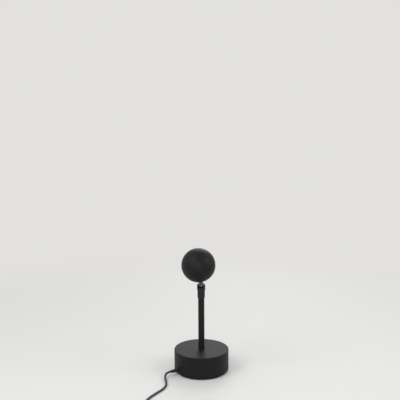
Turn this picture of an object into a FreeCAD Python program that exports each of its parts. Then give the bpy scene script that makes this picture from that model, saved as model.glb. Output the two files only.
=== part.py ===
import FreeCAD, Part
import Sketcher

import math
import os

from FreeCAD import Placement, Rotation, Vector

# A sunset projection lamp: a weighted drum base, a thin stem, a ball joint and a
# ball-shaped head that throws a coloured beam. The origin is the middle of
# the foot on the table, +Z is up, and the beam leaves towards +Y and upwards.

document = FreeCAD.newDocument("sunset_lamp")
sheet = document.addObject("Spreadsheet::Sheet", "Sizes")


class Size:
    """A length in mm that carries its value and the expression that ties it to the sheet."""

    def __init__(self, value, text):
        self.value = value
        self.text = text

    def __add__(self, other):
        other = as_size(other)
        return Size(self.value + other.value, "(" + self.text + " + " + other.text + ")")

    def __sub__(self, other):
        other = as_size(other)
        return Size(self.value - other.value, "(" + self.text + " - " + other.text + ")")

    def __mul__(self, other):
        other = as_size(other)
        return Size(self.value * other.value, "(" + self.text + " * " + other.text + ")")

    def __truediv__(self, other):
        other = as_size(other)
        return Size(self.value / other.value, "(" + self.text + " / " + other.text + ")")

    def __neg__(self):
        return Size(-self.value, "(0 - " + self.text + ")")


def as_size(number):
    return number if isinstance(number, Size) else Size(number, str(number))


def side(hypotenuse, other):
    """The third side of a right triangle: how wide a ball is at a height from its middle."""
    hypotenuse = as_size(hypotenuse)
    other = as_size(other)
    value = math.sqrt(hypotenuse.value ** 2 - other.value ** 2)
    return Size(value, "sqrt(" + hypotenuse.text + " ^ 2 - " + other.text + " ^ 2)")


# ---- driving dimensions, in mm and degrees ----

# Base: a drum with a closed top, open below. Its own -X side faces the way the lead leaves.
cord_angle_deg = 208.0
base_diameter = 100.0
base_height = 40.0
base_wall = 2.0
base_roof = 2.5
base_top_round = 1.2
base_rim_round = 0.8
foot_height = 2.5
foot_inset = 2.5
foot_chamfer = 0.5
plate_thickness = 1.5
plate_clearance = 0.3
boss_diameter = 9.0
boss_gap = 5.5
boss_count = 3
weight_height = 10.0
weight_clearance = 1.5
weight_bore = 26.0
weight_slot = 11.0
weight_slot_gap = 2.8
plate_screw_shank = 3.0
plate_screw_head = 5.6
plate_screw_recess = 0.8
plate_screw_length = 10.0
screw_clearance = 0.1
seating_gap = 0.1
contact_gap = 0.05
thread_clearance = 0.05
driver_post = 5.0
driver_post_height = 3.0
driver_middle = 24.0
driver_screw_span = 24.0
driver_width = 30.0
driver_length = 16.0
driver_thickness = 1.6
choke_length = 7.0
choke_width = 6.8
choke_height = 3.2
choke_across = 5.8
choke_along = 2.5
chip_length = 4.0
chip_height = 1.2
chip_across = 4.4
chip_along = 1.0
can_diameter = 5.0
can_height = 4.8
can_across = 10.4
can_along = 4.6
riser_gap = 1.3
landing_inset = 3.0
board_screw = 2.0
board_screw_head = 3.6
board_screw_head_height = 1.2

# Stem: a tube with a thread below and a wider bore on top.
stem_diameter = 11.4
stem_bore = 6.8
stem_thread = 9.9
stem_thread_length = 16.0
stem_socket = 8.4
stem_socket_depth = 14.0
stem_washer_thickness = 1.0
stem_washer_diameter = 18.0
stem_nut_flats = 14.0
stem_nut_height = 5.0
stem_lead_inset = 2.0

# Joint: a ball in a collar that is screwed on a cup; the cup turns on the stem.
joint_height = 158.5
ball_diameter = 12.4
ball_clearance = 0.05
neck_diameter = 7.8
collar_wall = 1.45
collar_rim = 2.2
collar_skirt = 8.0
collar_round = 1.1
collar_land = 0.4
notch_clearance = 0.3
cup_diameter = 13.8
cup_bore = 10.4
cup_floor = 3.0
cup_depth = 15.5
cup_sleeve = 4.5
cup_shoulder = 0.2
cup_chamfer = 0.4
turning_clearance = 0.08
bushing_flange = 1.5
bushing_shank = 8.0
bushing_bore = 4.4
bushing_clearance = 0.2
bushing_foot_gap = 2.0
pad_height = 7.6
pad_gap = 0.25
pad_bore_clearance = 0.3
disc_spring_thickness = 0.6
disc_spring_step = 0.8

# Head: a ball of two shells with a lens in front.
head_diameter = 61.0
head_wall = 2.2
head_reach = 45.9
head_seam = 12.5
head_front = 21.0
seam_wall = 1.2
seam_break = 0.35
spigot_length = 2.4
spigot_wall = 1.3
ledge_depth = 1.2
ledge_height = 1.5
seat_depth = 0.9
seat_boss = 14.0
seat_boss_height = 3.6
stud_thread = 6.0
stud_flange = 12.4
stud_flange_height = 1.8
stud_flare_height = 1.4
stud_end = 1.2
stud_bore = 3.2
neck_washer_thickness = 1.0
neck_washer_margin = 1.2
neck_nut_flats = 10.0
neck_nut_height = 4.5

# Optics: heat sink, emitter, condenser, colour filter and front lens, back to front.
sink_thickness = 2.7
fin_thickness = 1.5
fin_pitch = 4.5
fin_depth = 16.0
fin_width = 20.0
fin_count = 7
board_diameter = 20.0
board_thickness = 1.6
board_screw_circle = 7.5
wire_inset = 2.0
wire_hole_clearance = 0.6
lead_run = 3.5
lead_set_back = 1.5
emitter_side = 7.0
emitter_height = 0.7
emitter_window = 5.6
emitter_window_height = 0.35
barrel_wall = 2.6
barrel_clearance = 0.3
barrel_flange = 34.4
barrel_flange_height = 1.2
condenser_diameter = 22.8
condenser_edge = 0.8
condenser_bulge = 2.4
condenser_gap = 0.35
filter_floor = 1.7
filter_floor_bore = 33.0
filter_thickness = 1.1
gasket_thickness = 0.5
gasket_width = 2.2
lens_diameter = 38.6
lens_edge = 2.0
lens_rim = 1.5
lens_bulge = 5.5
lens_recess = 0.5
bezel_wall = 0.85
bezel_lip = 1.3
bezel_height = 1.4
bezel_edge = 0.6
bezel_notch = 2.0
bezel_notch_depth = 0.7
bezel_notch_count = 4

# Lead, in-line switch and plug.
cord_diameter = 3.7
wire_diameter = 1.3
wire_gap = 0.3
cord_exit_height = 8.0
relief_shank = 6.3
relief_flange = 8.0
relief_length = 13.0
relief_root = 6.8
relief_tip = 4.6
relief_clearance = 0.1
relief_gap_inside = 0.2
relief_gap_outside = 0.15
relief_flange_thickness = 1.5
relief_rib_depth = 0.45
relief_rib_count = 4
coil_pitch = 4.35
coil_outer = 30.6
coil_lead_in = 15.0
relief_lead_out = 5.5
tie_thickness = 0.5
tie_width = 9.0
tie_slack = 0.1
tie_round = 1.1
tie_outside_gap = 1.2
tie_inside_gap = 2.2
switch_length = 44.0
switch_corner = 6.0
switch_rim_round = 0.8
switch_lid_gap = 0.1
switch_screw_shift = 0.2
switch_screw_inset = 0.8
switch_screw_head = 0.9
switch_screw_sink = 1.3
switch_board_drop = 1.4
switch_board_thickness = 1.2
switch_board_margin = 2.0
switch_board_clearance = 0.4
tact_side = 6.0
tact_gap = 1.3
plunger_diameter = 3.4
plunger_height = 0.5
switch_width = 17.0
switch_split = 6.5
switch_height = 12.0
switch_wall = 1.5
switch_round = 1.6
switch_cord_height = 4.2
button_diameter = 10.0
button_clearance = 0.2
button_proud = 1.2
button_travel = 1.0
button_flange = 1.0
button_edge = 0.4
button_land = 1.2
button_dish = 0.3
plug_length = 30.0
plug_width = 15.6
plug_height = 8.4
plug_round = 2.0
plug_neck = 6.0
plug_neck_length = 7.0
plug_socket_depth = 5.0
plug_shell_length = 18.6
plug_shell_width = 12.0
plug_shell_height = 4.5
plug_shell_wall = 0.3
plug_window = 2.4
plug_window_length = 2.6
plug_window_reach = 8.0
tongue_height = 1.9
tongue_clearance = 0.15
tongue_gap = 0.1
tongue_set_back = 1.0

# How the head is turned at rest: the neck leans back and a little to the left.
neck_tilt_deg = 25.5
neck_azimuth_deg = 13.9
beam_azimuth_deg = 1.5


# Each dimension above gets its own cell and alias, and from here its name stands for that cell.
dimensions = [(alias, number) for alias, number in globals().items() if isinstance(number, float)]
for row, (alias, number) in enumerate(dimensions, 1):
    sheet.set("A" + str(row), str(number))
    sheet.setAlias("A" + str(row), alias)
    globals()[alias] = Size(number, "Sizes." + alias)


# ---- building functions ----

parts = []
same_place = 0.02
arc_share = 0.45


def finish(thing, label, place=None):
    """Names a sub-part, puts it in its place and lists it for export."""
    thing.Label = label
    if place is not None:
        thing.Placement = place
    parts.append(thing)
    return thing


def new_body(label):
    return document.addObject("PartDesign::Body", label + "_body")


def plane(body, role):
    return [feature for feature in body.Origin.OriginFeatures if feature.Role == role][0]


def new_sketch(body, role, offset=None):
    """A sketch on one of the body's own planes, shifted along its normal by offset."""
    sketch = body.newObject("Sketcher::SketchObject", body.Name + "_sketch")
    sketch.AttachmentSupport = [(plane(body, role), "")]
    sketch.MapMode = "FlatFace"
    if offset is not None:
        sketch.AttachmentOffset = Placement(Vector(0, 0, offset.value), Rotation())
        sketch.setExpression(".AttachmentOffset.Base.z", offset.text)
    return sketch


def pin_point(sketch, curve, point, across, up):
    """Ties one point of a curve to its distances from the sketch's origin."""
    across = as_size(across)
    up = as_size(up)
    for kind, axis, distance in (("DistanceX", -2, across), ("DistanceY", -1, up)):
        if abs(distance.value) < 1e-9:
            sketch.addConstraint(Sketcher.Constraint("PointOnObject", curve, point, axis))
        else:
            index = sketch.addConstraint(Sketcher.Constraint(kind, -1, 1, curve, point, distance.value))
            sketch.setExpression("Constraints[" + str(index) + "]", distance.text)


def arc_on_axis(start, end):
    """The arc between two points whose centre lies on the turning axis, and whether it runs backwards."""
    height = (start.x ** 2 + start.y ** 2 - end.x ** 2 - end.y ** 2) / (2 * (start.y - end.y))
    centre = Vector(0, height, 0)
    first = math.atan2(start.y - height, start.x)
    last = math.atan2(end.y - height, end.x)
    backwards = (last - first) % (2 * math.pi) > math.pi
    circle = Part.Circle(centre, Vector(0, 0, 1), (start - centre).Length)
    if backwards:
        return Part.ArcOfCircle(circle, last, first), True
    return Part.ArcOfCircle(circle, first, last), False


def draw_outline(sketch, corners, arcs=()):
    """A closed outline through (across, up) corners; arcs lists the sides that are round.

    A side has the number of its first corner, and its arc's centre is on the upright axis.
    """
    points = [Vector(as_size(across).value, as_size(up).value, 0) for across, up in corners]
    ends = []
    for number, start in enumerate(points):
        end = points[(number + 1) % len(points)]
        if number in arcs:
            curve, backwards = arc_on_axis(start, end)
            index = sketch.addGeometry(curve, False)
            sketch.addConstraint(Sketcher.Constraint("PointOnObject", index, 3, -2))
            ends.append((index, 2, 1) if backwards else (index, 1, 2))
        else:
            index = sketch.addGeometry(Part.LineSegment(start, end), False)
            ends.append((index, 1, 2))
    for number, (index, first, last) in enumerate(ends):
        following, following_first = ends[(number + 1) % len(ends)][:2]
        sketch.addConstraint(Sketcher.Constraint("Coincident", index, last, following, following_first))
    for (index, first, last), (across, up) in zip(ends, corners):
        pin_point(sketch, index, first, across, up)


def draw_circle(sketch, diameter, across=0, up=0):
    diameter = as_size(diameter)
    middle = Vector(as_size(across).value, as_size(up).value, 0)
    index = sketch.addGeometry(Part.Circle(middle, Vector(0, 0, 1), diameter.value / 2), False)
    pin_point(sketch, index, 3, across, up)
    measure = sketch.addConstraint(Sketcher.Constraint("Diameter", index, diameter.value))
    sketch.setExpression("Constraints[" + str(measure) + "]", diameter.text)


def draw_rectangle(sketch, low_across, low_up, high_across, high_up):
    draw_outline(sketch, [
        (low_across, low_up), (high_across, low_up), (high_across, high_up), (low_across, high_up),
    ])


def revolve(body, corners, arcs=()):
    """Turns an outline of (radius, height) corners about the body's upright axis."""
    sketch = new_sketch(body, "XZ_Plane")
    draw_outline(sketch, corners, arcs)
    feature = body.newObject("PartDesign::Revolution", body.Name + "_turn")
    feature.Profile = sketch
    feature.ReferenceAxis = (sketch, ["V_Axis"])
    feature.Angle = 360.0
    document.recompute()
    return feature


def pad(body, sketch, length, backwards=False):
    feature = body.newObject("PartDesign::Pad", body.Name + "_pad")
    feature.Profile = sketch
    feature.setExpression("Length", as_size(length).text)
    feature.Reversed = backwards
    document.recompute()
    return feature


def pocket(body, sketch, length, backwards=False):
    """Cuts a sketch out of the body; a cut that meets no material stops the build."""
    before = body.Shape.Volume
    feature = body.newObject("PartDesign::Pocket", body.Name + "_pocket")
    feature.Profile = sketch
    feature.setExpression("Length", as_size(length).text)
    feature.Reversed = backwards
    document.recompute()
    if body.Shape.Volume > before - 1e-3:
        raise RuntimeError(body.Name + ": a pocket cuts nothing")
    return feature


def polar(body, features, count):
    """Repeats features evenly round the body's upright axis."""
    pattern = body.newObject("PartDesign::PolarPattern", body.Name + "_polar")
    pattern.Originals = features
    pattern.Axis = ([axis for axis in body.Origin.OriginFeatures if axis.Role == "Z_Axis"][0], [""])
    pattern.Angle = 360.0
    pattern.Occurrences = count
    body.Tip = pattern
    document.recompute()
    return pattern


def ring_edges(shape, radius, height):
    """The names of the round edges of one radius at one height."""
    names = []
    for number, edge in enumerate(shape.Edges, 1):
        curve = edge.Curve
        if not isinstance(curve, Part.Circle):
            continue
        if abs(curve.Radius - radius) < same_place and abs(curve.Center.z - height) < same_place:
            names.append("Edge" + str(number))
    return names


def edge_runs(edge, axis):
    """True for an edge that runs along one axis from end to end."""
    return abs(getattr(edge.tangentAt(edge.FirstParameter), axis)) > 0.9


def fillet(body, edges, radius):
    base = body.Tip
    feature = body.newObject("PartDesign::Fillet", body.Name + "_fillet")
    feature.Base = (base, edges)
    feature.setExpression("Radius", as_size(radius).text)
    document.recompute()
    return feature


def turned(label, corners, arcs=(), place=None):
    """A turned piece: one closed outline of (radius, height) corners, spun about its axis."""
    body = new_body(label)
    revolve(body, corners, arcs)
    return finish(body, label, place)


def ring(label, bore, diameter, low, high, place=None):
    """A plain washer, disc or sleeve between two heights."""
    inner = as_size(bore) / 2
    outer = as_size(diameter) / 2
    return turned(label, [(inner, low), (outer, low), (outer, high), (inner, high)], (), place)


def hex_nut(label, flats, thread, low, height, place):
    """A hexagon nut with a plain bore; a drawn circle through its corners sets the flats."""
    body = new_body(label)
    sketch = new_sketch(body, "XY_Plane", as_size(low))
    reach = as_size(flats) / 2
    half = reach / math.sqrt(3)
    draw_outline(sketch, [
        (half * 2, 0), (half, reach), (-half, reach),
        (-half * 2, 0), (-half, -reach), (half, -reach),
    ])
    draw_circle(sketch, thread)
    pad(body, sketch, height)
    return finish(body, label, place)


def cylinder(name, diameter, height, base, axis=Vector(0, 0, 1)):
    thing = document.addObject("Part::Cylinder", name)
    thing.setExpression("Radius", (as_size(diameter) / 2).text)
    thing.setExpression("Height", as_size(height).text)
    thing.Placement = Placement(base, Rotation(Vector(0, 0, 1), axis))
    return thing


def fuse(name, things):
    thing = document.addObject("Part::MultiFuse", name)
    thing.Shapes = things
    return thing


def pan_screws(label, places, head_diameter, head_height, shank_diameter, shank_length, place=None):
    """A group of like screws; each place is a head's underside, and the shank runs along its -Z."""
    screws = []
    for number, (point, axis) in enumerate(places):
        name = label + str(number)
        head = cylinder(name + "_head", head_diameter, head_height, point, axis)
        start = point - axis * as_size(shank_length).value
        shank = cylinder(name + "_shank", shank_diameter, as_size(shank_length), start, axis)
        screws.append(fuse(name, [head, shank]))
    group = document.addObject("Part::Compound", label + "_group")
    group.Links = screws
    return finish(group, label, place)


def corner_turn(points, number):
    """The directions and lengths before and after one point of a route."""
    before = points[number] - points[number - 1]
    after = points[number + 1] - points[number]
    return before, after


def route_radius(points, number):
    """The radius of the arc at one point: its share of the shorter run over the tangent of half the turn."""
    before, after = corner_turn(points, number)
    turn = before.getAngle(after)
    return arc_share * min(before.Length, after.Length) / math.tan(turn / 2)


def route_wire(points):
    """Straight runs joined by tangent arcs, each as large as its two runs allow."""
    edges = []
    last = points[0]
    for number in range(1, len(points) - 1):
        before, after = corner_turn(points, number)
        reach = arc_share * min(before.Length, after.Length)
        into = Vector(before).normalize()
        out = Vector(after).normalize()
        start = points[number] - into * reach
        end = points[number] + out * reach
        turn = before.getAngle(after)
        towards = (out - into).normalize()
        middle = points[number] + towards * (route_radius(points, number) * (1 / math.cos(turn / 2) - 1))
        edges.append(Part.LineSegment(last, start).toShape())
        edges.append(Part.Arc(start, middle, end).toShape())
        last = end
    edges.append(Part.LineSegment(last, points[-1]).toShape())
    return Part.Wire(edges)


def swept(wire, diameter, start, direction):
    """A round tube of one diameter along a wire."""
    circle = Part.Circle(start, direction, diameter / 2)
    return wire.makePipeShell([Part.Wire(circle.toShape())], True, False)


def feature_of(label, shape, place=None):
    thing = document.addObject("Part::Feature", label + "_shape")
    thing.Shape = shape
    return finish(thing, label, place or Placement())


def lead(label, points, diameter):
    """A free lead: prints its tightest radius and compares its volume with section times length."""
    wire = route_wire(points)
    tube = swept(wire, diameter, points[0], points[1] - points[0])
    radii = [route_radius(points, number) for number in range(1, len(points) - 1)]
    expected = math.pi * diameter ** 2 / 4 * wire.Length
    print(label, "length", round(wire.Length, 1), "radii", [round(radius, 1) for radius in radii],
          "volume", round(tube.Volume / expected, 4))
    return feature_of(label, tube)


# ---- places ----

base_radius = base_diameter / 2
head_radius = head_diameter / 2
base_turn = cord_angle_deg.value - 180.0
base_place = Placement(Vector(0, 0, 0), Rotation(Vector(0, 0, 1), base_turn))
up = Vector(0, 0, 1)
joint_middle = Vector(0, 0, joint_height.value)
tilt = math.radians(neck_tilt_deg.value)
lean = math.radians(neck_azimuth_deg.value)
heading = math.radians(beam_azimuth_deg.value)
neck_axis = Vector(-math.sin(lean) * math.sin(tilt), -math.cos(lean) * math.sin(tilt), math.cos(tilt))
level_beam = Vector(math.sin(heading), math.cos(heading), 0)
beam_rise = math.atan2(-neck_axis.dot(level_beam), neck_axis.z)
beam_axis = level_beam * math.cos(beam_rise) + up * math.sin(beam_rise)
head_middle = joint_middle + neck_axis * head_reach.value
# The collar's notch faces the way the neck leans.
joint_place = Placement(joint_middle, Rotation(up, -neck_azimuth_deg.value))
neck_turn = Rotation(neck_axis.cross(up).cross(neck_axis), Vector(), neck_axis, "ZXY")
neck_place = Placement(joint_middle, neck_turn)
# In the head's own frame +Z is the beam and +Y points away from the neck.
head_place = Placement(head_middle, Rotation(neck_axis.cross(beam_axis), neck_axis, beam_axis, "ZYX"))


def at_angle(radius, angle_deg, height=0.0):
    angle = math.radians(angle_deg)
    return Vector(radius * math.cos(angle), radius * math.sin(angle), height)


# ---- base ----

shell_inside = base_radius - base_wall
shell_bottom = foot_height
plate_top = shell_bottom + plate_thickness
roof_underside = base_height - base_roof
weight_top = plate_top + weight_height
driver_bottom = weight_top + driver_post_height
driver_top = driver_bottom + driver_thickness
boss_circle = shell_inside - boss_diameter / 2 - boss_gap
lead_riser = driver_middle + driver_length / 2 + cord_diameter / 2 + riser_gap
weight_slot_end = lead_riser - cord_diameter / 2 - weight_slot_gap
wire_across = (wire_diameter + wire_gap) / 2
thread_bottom = base_height - stem_thread_length
relief_groove = base_wall + relief_gap_inside
relief_inside = relief_groove + relief_flange_thickness


def make_foot_pad():
    """A soft disc under the plate, a little smaller than the drum."""
    body = new_body("foot_pad")
    radius = base_radius - foot_inset
    revolve(body, [
        (0, 0), (radius - foot_chamfer, 0), (radius, foot_chamfer), (radius, foot_height), (0, foot_height),
    ])
    return finish(body, "foot_pad")


def make_base_shell():
    """A cast drum with three screw bosses under its roof, a stem hole and a lead hole."""
    body = new_body("base_shell")
    stem_hole = stem_thread / 2 + thread_clearance
    revolve(body, [
        (stem_hole, roof_underside),
        (shell_inside, roof_underside),
        (shell_inside, shell_bottom),
        (base_radius, shell_bottom),
        (base_radius, base_height),
        (stem_hole, base_height),
    ])
    fillet(body, ring_edges(body.Shape, base_radius.value, base_height.value), base_top_round)
    fillet(body, ring_edges(body.Shape, base_radius.value, shell_bottom.value), base_rim_round)
    boss = new_sketch(body, "XY_Plane", plate_top)
    draw_circle(boss, boss_diameter, boss_circle)
    boss_pad = pad(body, boss, roof_underside - plate_top)
    polar(body, [boss_pad], boss_count)
    pilot = new_sketch(body, "XY_Plane", plate_top)
    draw_circle(pilot, plate_screw_shank + screw_clearance, boss_circle)
    pilot_hole = pocket(body, pilot, plate_screw_length, backwards=True)
    polar(body, [pilot_hole], boss_count)
    hole = new_sketch(body, "YZ_Plane")
    draw_circle(hole, relief_shank + relief_clearance, 0, cord_exit_height)
    pocket(body, hole, base_diameter)
    return finish(body, "base_shell", base_place)


def make_bottom_plate():
    """A steel disc let into the drum, with a stepped hole under each boss."""
    body = new_body("bottom_plate")
    radius = shell_inside - plate_clearance
    revolve(body, [(0, shell_bottom), (radius, shell_bottom), (radius, plate_top), (0, plate_top)])
    hole = new_sketch(body, "XY_Plane", plate_top)
    draw_circle(hole, plate_screw_shank + screw_clearance, boss_circle)
    cut = pocket(body, hole, plate_thickness)
    polar(body, [cut], boss_count)
    sink = new_sketch(body, "XY_Plane", shell_bottom)
    draw_circle(sink, plate_screw_head + screw_clearance, boss_circle)
    recess = pocket(body, sink, plate_screw_recess, backwards=True)
    polar(body, [recess], boss_count)
    return finish(body, "bottom_plate", base_place)


def make_base_weight():
    """A cast-iron ring notched round the bosses, slotted for the lead, with two board posts."""
    body = new_body("base_weight")
    outer = shell_inside - weight_clearance
    bore = weight_bore / 2
    revolve(body, [(bore, plate_top), (outer, plate_top), (outer, weight_top), (bore, weight_top)])
    notch = new_sketch(body, "XY_Plane", plate_top)
    draw_circle(notch, boss_diameter + weight_clearance, boss_circle)
    cut = pocket(body, notch, weight_height, backwards=True)
    polar(body, [cut], boss_count)
    slot = new_sketch(body, "XY_Plane", plate_top)
    draw_rectangle(slot, -base_radius, -weight_slot / 2, -weight_slot_end, weight_slot / 2)
    pocket(body, slot, weight_height, backwards=True)
    for sign in (-1, 1):
        post = new_sketch(body, "XY_Plane", weight_top)
        draw_circle(post, driver_post, -driver_middle, driver_screw_span / 2 * sign)
        draw_circle(post, board_screw + screw_clearance, -driver_middle, driver_screw_span / 2 * sign)
        pad(body, post, driver_post_height)
    return finish(body, "base_weight", base_place)


def make_plate_screws():
    underside = shell_bottom.value + plate_screw_recess.value
    places = []
    for number in range(boss_count):
        point = at_angle(boss_circle.value, 360.0 * number / boss_count, underside)
        places.append((point, -up))
    head_height = plate_screw_recess - seating_gap
    return pan_screws("bottom_plate_screws", places, plate_screw_head, head_height,
                      plate_screw_shank, plate_screw_length, base_place)


def make_driver_board():
    """The small supply board: a choke, a chip and a capacitor soldered on its bare board."""
    body = new_body("driver_board")
    bare = new_sketch(body, "XY_Plane", driver_bottom)
    half_length = driver_length / 2
    half_width = driver_width / 2
    draw_rectangle(bare, -driver_middle - half_length, -half_width, -driver_middle + half_length, half_width)
    for sign in (-1, 1):
        draw_circle(bare, board_screw + screw_clearance, -driver_middle, driver_screw_span / 2 * sign)
    pad(body, bare, driver_thickness)
    choke = new_sketch(body, "XY_Plane", driver_top)
    draw_rectangle(choke, choke_along - choke_length / 2 - driver_middle, choke_across - choke_width / 2,
                   choke_along + choke_length / 2 - driver_middle, choke_across + choke_width / 2)
    pad(body, choke, choke_height)
    chip = new_sketch(body, "XY_Plane", driver_top)
    draw_rectangle(chip, chip_along - chip_length / 2 - driver_middle, -chip_across - chip_length / 2,
                   chip_along + chip_length / 2 - driver_middle, chip_length / 2 - chip_across)
    pad(body, chip, chip_height)
    can = new_sketch(body, "XY_Plane", driver_top)
    draw_circle(can, can_diameter, can_along - driver_middle, -can_across)
    pad(body, can, can_height)
    return finish(body, "driver_board", base_place)


def make_driver_screws():
    places = []
    for sign in (-1, 1):
        across = (driver_screw_span / 2 * sign).value
        places.append((Vector(-driver_middle.value, across, driver_top.value), up))
    return pan_screws("driver_board_screws", places, board_screw_head, board_screw_head_height,
                      board_screw, driver_thickness + driver_post_height, base_place)


def make_inner_lead():
    """The lead from its strain relief up through the weight's slot on to the board."""
    inside = -(base_radius - relief_inside).value
    riser = -lead_riser.value
    over = (driver_top + cord_diameter).value
    landing = -(driver_middle + driver_length / 2 - landing_inset).value
    points = [
        Vector(inside, 0, cord_exit_height.value),
        Vector(riser, 0, cord_exit_height.value),
        Vector(riser, 0, over),
        Vector(landing, 0, over),
        Vector(landing, 0, driver_top.value),
    ]
    tube = swept(route_wire(points), cord_diameter.value, points[0], points[1] - points[0])
    return feature_of("inner_lead", tube, base_place)


def make_stem_leads():
    """Two insulated wires from the board, up the stem and into the bushing."""
    start = -(driver_middle - driver_length / 2 + stem_lead_inset).value
    under = ((driver_top + thread_bottom) / 2).value
    top = (joint_height - cup_depth).value
    tubes = []
    for sign in (-1, 1):
        across = sign * wire_across.value
        points = [
            Vector(start, across, driver_top.value),
            Vector(start, across, under),
            Vector(0, across, under),
            Vector(0, across, top),
        ]
        tubes.append(swept(route_wire(points), wire_diameter.value, points[0], up))
    return feature_of("stem_leads", Part.makeCompound(tubes), base_place)


def make_strain_relief():
    """A rubber sleeve moulded on the lead, ribbed and tapered, held in the drum's wall by its groove."""
    shank = relief_shank / 2
    flange = relief_flange / 2
    ribs_start = relief_gap_outside + relief_flange_thickness
    corners = [
        (0, -relief_inside), (flange, -relief_inside), (flange, -relief_groove), (shank, -relief_groove),
        (shank, relief_gap_outside), (flange, relief_gap_outside), (flange, ribs_start),
    ]
    step = (relief_length - ribs_start) / (relief_rib_count * 2 + 1)
    taper = (relief_root - relief_tip) / 2
    for number in range(relief_rib_count * 2 + 1):
        low = ribs_start + step * number
        share = (number + 0.5) / (relief_rib_count * 2 + 1)
        radius = relief_root / 2 - taper * share
        if number % 2:
            radius = radius - relief_rib_depth
        corners += [(radius, low), (radius, low + step)]
    corners.append((0, relief_length))
    exit_point = at_angle(base_radius.value, cord_angle_deg.value, cord_exit_height.value)
    outward = at_angle(1.0, cord_angle_deg.value)
    return turned("strain_relief", corners, (), Placement(exit_point, Rotation(up, outward)))


# ---- stem ----

stem_top = joint_height - cup_depth - cup_floor - seating_gap


def make_stem():
    """A tube with a thread turned on its foot and a wider bore for the bushing on top."""
    outer = stem_diameter / 2
    thread = stem_thread / 2
    bore = stem_bore / 2
    socket = stem_socket / 2
    socket_floor = stem_top - stem_socket_depth
    return turned("stem", [
        (bore, thread_bottom), (thread, thread_bottom), (thread, base_height), (outer, base_height),
        (outer, stem_top), (socket, stem_top), (socket, socket_floor), (bore, socket_floor),
    ])


def make_stem_washer():
    low = roof_underside - stem_washer_thickness
    return ring("stem_washer", stem_thread + screw_clearance, stem_washer_diameter, low, roof_underside)


def make_stem_nut():
    low = roof_underside - stem_washer_thickness - stem_nut_height
    bore = stem_thread + thread_clearance
    return hex_nut("stem_nut", stem_nut_flats, bore, low, stem_nut_height, Placement())


# ---- joint, in a frame with its origin at the ball's middle ----

ball_radius = ball_diameter / 2
ball_seat = ball_radius + ball_clearance
cup_floor_top = -cup_depth
cup_floor_low = -(cup_depth + cup_floor)
bushing_flange_top = cup_floor_top + bushing_flange + seating_gap
notch_radius = neck_diameter / 2 + notch_clearance
collar_step = -(notch_radius + collar_land)
cup_thread = cup_diameter / 2 - cup_shoulder
pad_top = collar_step - pad_gap
collar_radius = ball_seat + collar_wall


def make_swivel_bushing():
    """A hollow screw in the stem's top; the cup turns on its shoulder under its flange."""
    bore = bushing_bore / 2
    shank = bushing_shank / 2
    thread = stem_socket / 2 - thread_clearance
    flange = cup_bore / 2 - bushing_clearance
    bottom = cup_floor_low - seating_gap - stem_socket_depth + bushing_foot_gap
    shoulder = cup_floor_low - seating_gap
    lip = cup_floor_top + seating_gap
    return turned("swivel_bushing", [
        (bore, bottom), (thread, bottom), (thread, shoulder), (shank, shoulder), (shank, lip),
        (flange, lip), (flange, bushing_flange_top), (bore, bushing_flange_top),
    ], (), joint_place)


def make_joint_cup():
    """A turned cup with a sleeve over the stem, a floor, and a threaded spigot for the collar."""
    bore = cup_bore / 2
    floor_bore = bushing_shank / 2 + thread_clearance
    sleeve = stem_diameter / 2 + turning_clearance
    outer = cup_diameter / 2
    bottom = cup_floor_low - cup_sleeve
    shoulder = -collar_skirt - seating_gap
    spigot_top = collar_step - seating_gap
    return turned("joint_cup", [
        (sleeve, bottom), (outer - cup_chamfer, bottom), (outer, bottom + cup_chamfer), (outer, shoulder),
        (cup_thread, shoulder), (cup_thread, spigot_top), (bore, spigot_top),
        (bore, cup_floor_top), (floor_bore, cup_floor_top), (floor_bore, cup_floor_low),
        (sleeve, cup_floor_low),
    ], (), joint_place)


def make_joint_collar():
    """A screwed collar that holds the ball, rounded on top and notched for the neck to lie in."""
    body = new_body("joint_collar")
    thread = cup_thread + thread_clearance
    revolve(body, [
        (thread, -collar_skirt), (collar_radius, -collar_skirt), (collar_radius, collar_rim),
        (side(ball_seat, collar_rim), collar_rim), (ball_seat, 0), (ball_seat, collar_step),
        (thread, collar_step),
    ], arcs=(3,))
    fillet(body, ring_edges(body.Shape, collar_radius.value, collar_rim.value), collar_round)
    notch = new_sketch(body, "XZ_Plane")
    draw_circle(notch, notch_radius * 2)
    pocket(body, notch, collar_radius * 2, backwards=True)
    mouth = new_sketch(body, "XZ_Plane")
    draw_rectangle(mouth, -notch_radius, 0, notch_radius, collar_rim * 2)
    pocket(body, mouth, collar_radius * 2, backwards=True)
    return finish(body, "joint_collar", joint_place)


def make_friction_pad():
    """A nylon seat under the ball."""
    bore = bushing_bore / 2 + pad_bore_clearance
    outer = cup_bore / 2 - thread_clearance
    bottom = pad_top - pad_height
    return turned("friction_pad", [
        (bore, bottom), (outer, bottom), (outer, pad_top), (side(ball_seat, pad_top), pad_top),
        (bore, -side(ball_seat, bore)),
    ], (3,), joint_place)


def make_disc_spring():
    """A cone of spring steel that presses the pad up against the ball."""
    outer = cup_bore / 2 - screw_clearance
    inner = bushing_bore / 2 + disc_spring_step
    low = bushing_flange_top + contact_gap
    high = pad_top - pad_height - contact_gap
    return turned("disc_spring", [
        (inner, high - disc_spring_thickness), (outer, low), (outer, low + disc_spring_thickness),
        (inner, high),
    ], (), joint_place)


# ---- neck, in a frame with its origin at the ball's middle and +Z along the neck ----

seat_face = head_reach - head_radius + seat_depth
boss_face = seat_face + seat_boss_height
nut_low = boss_face + neck_washer_thickness + seating_gap
nut_top = nut_low + neck_nut_height
stud_top = nut_top + stud_end


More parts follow.
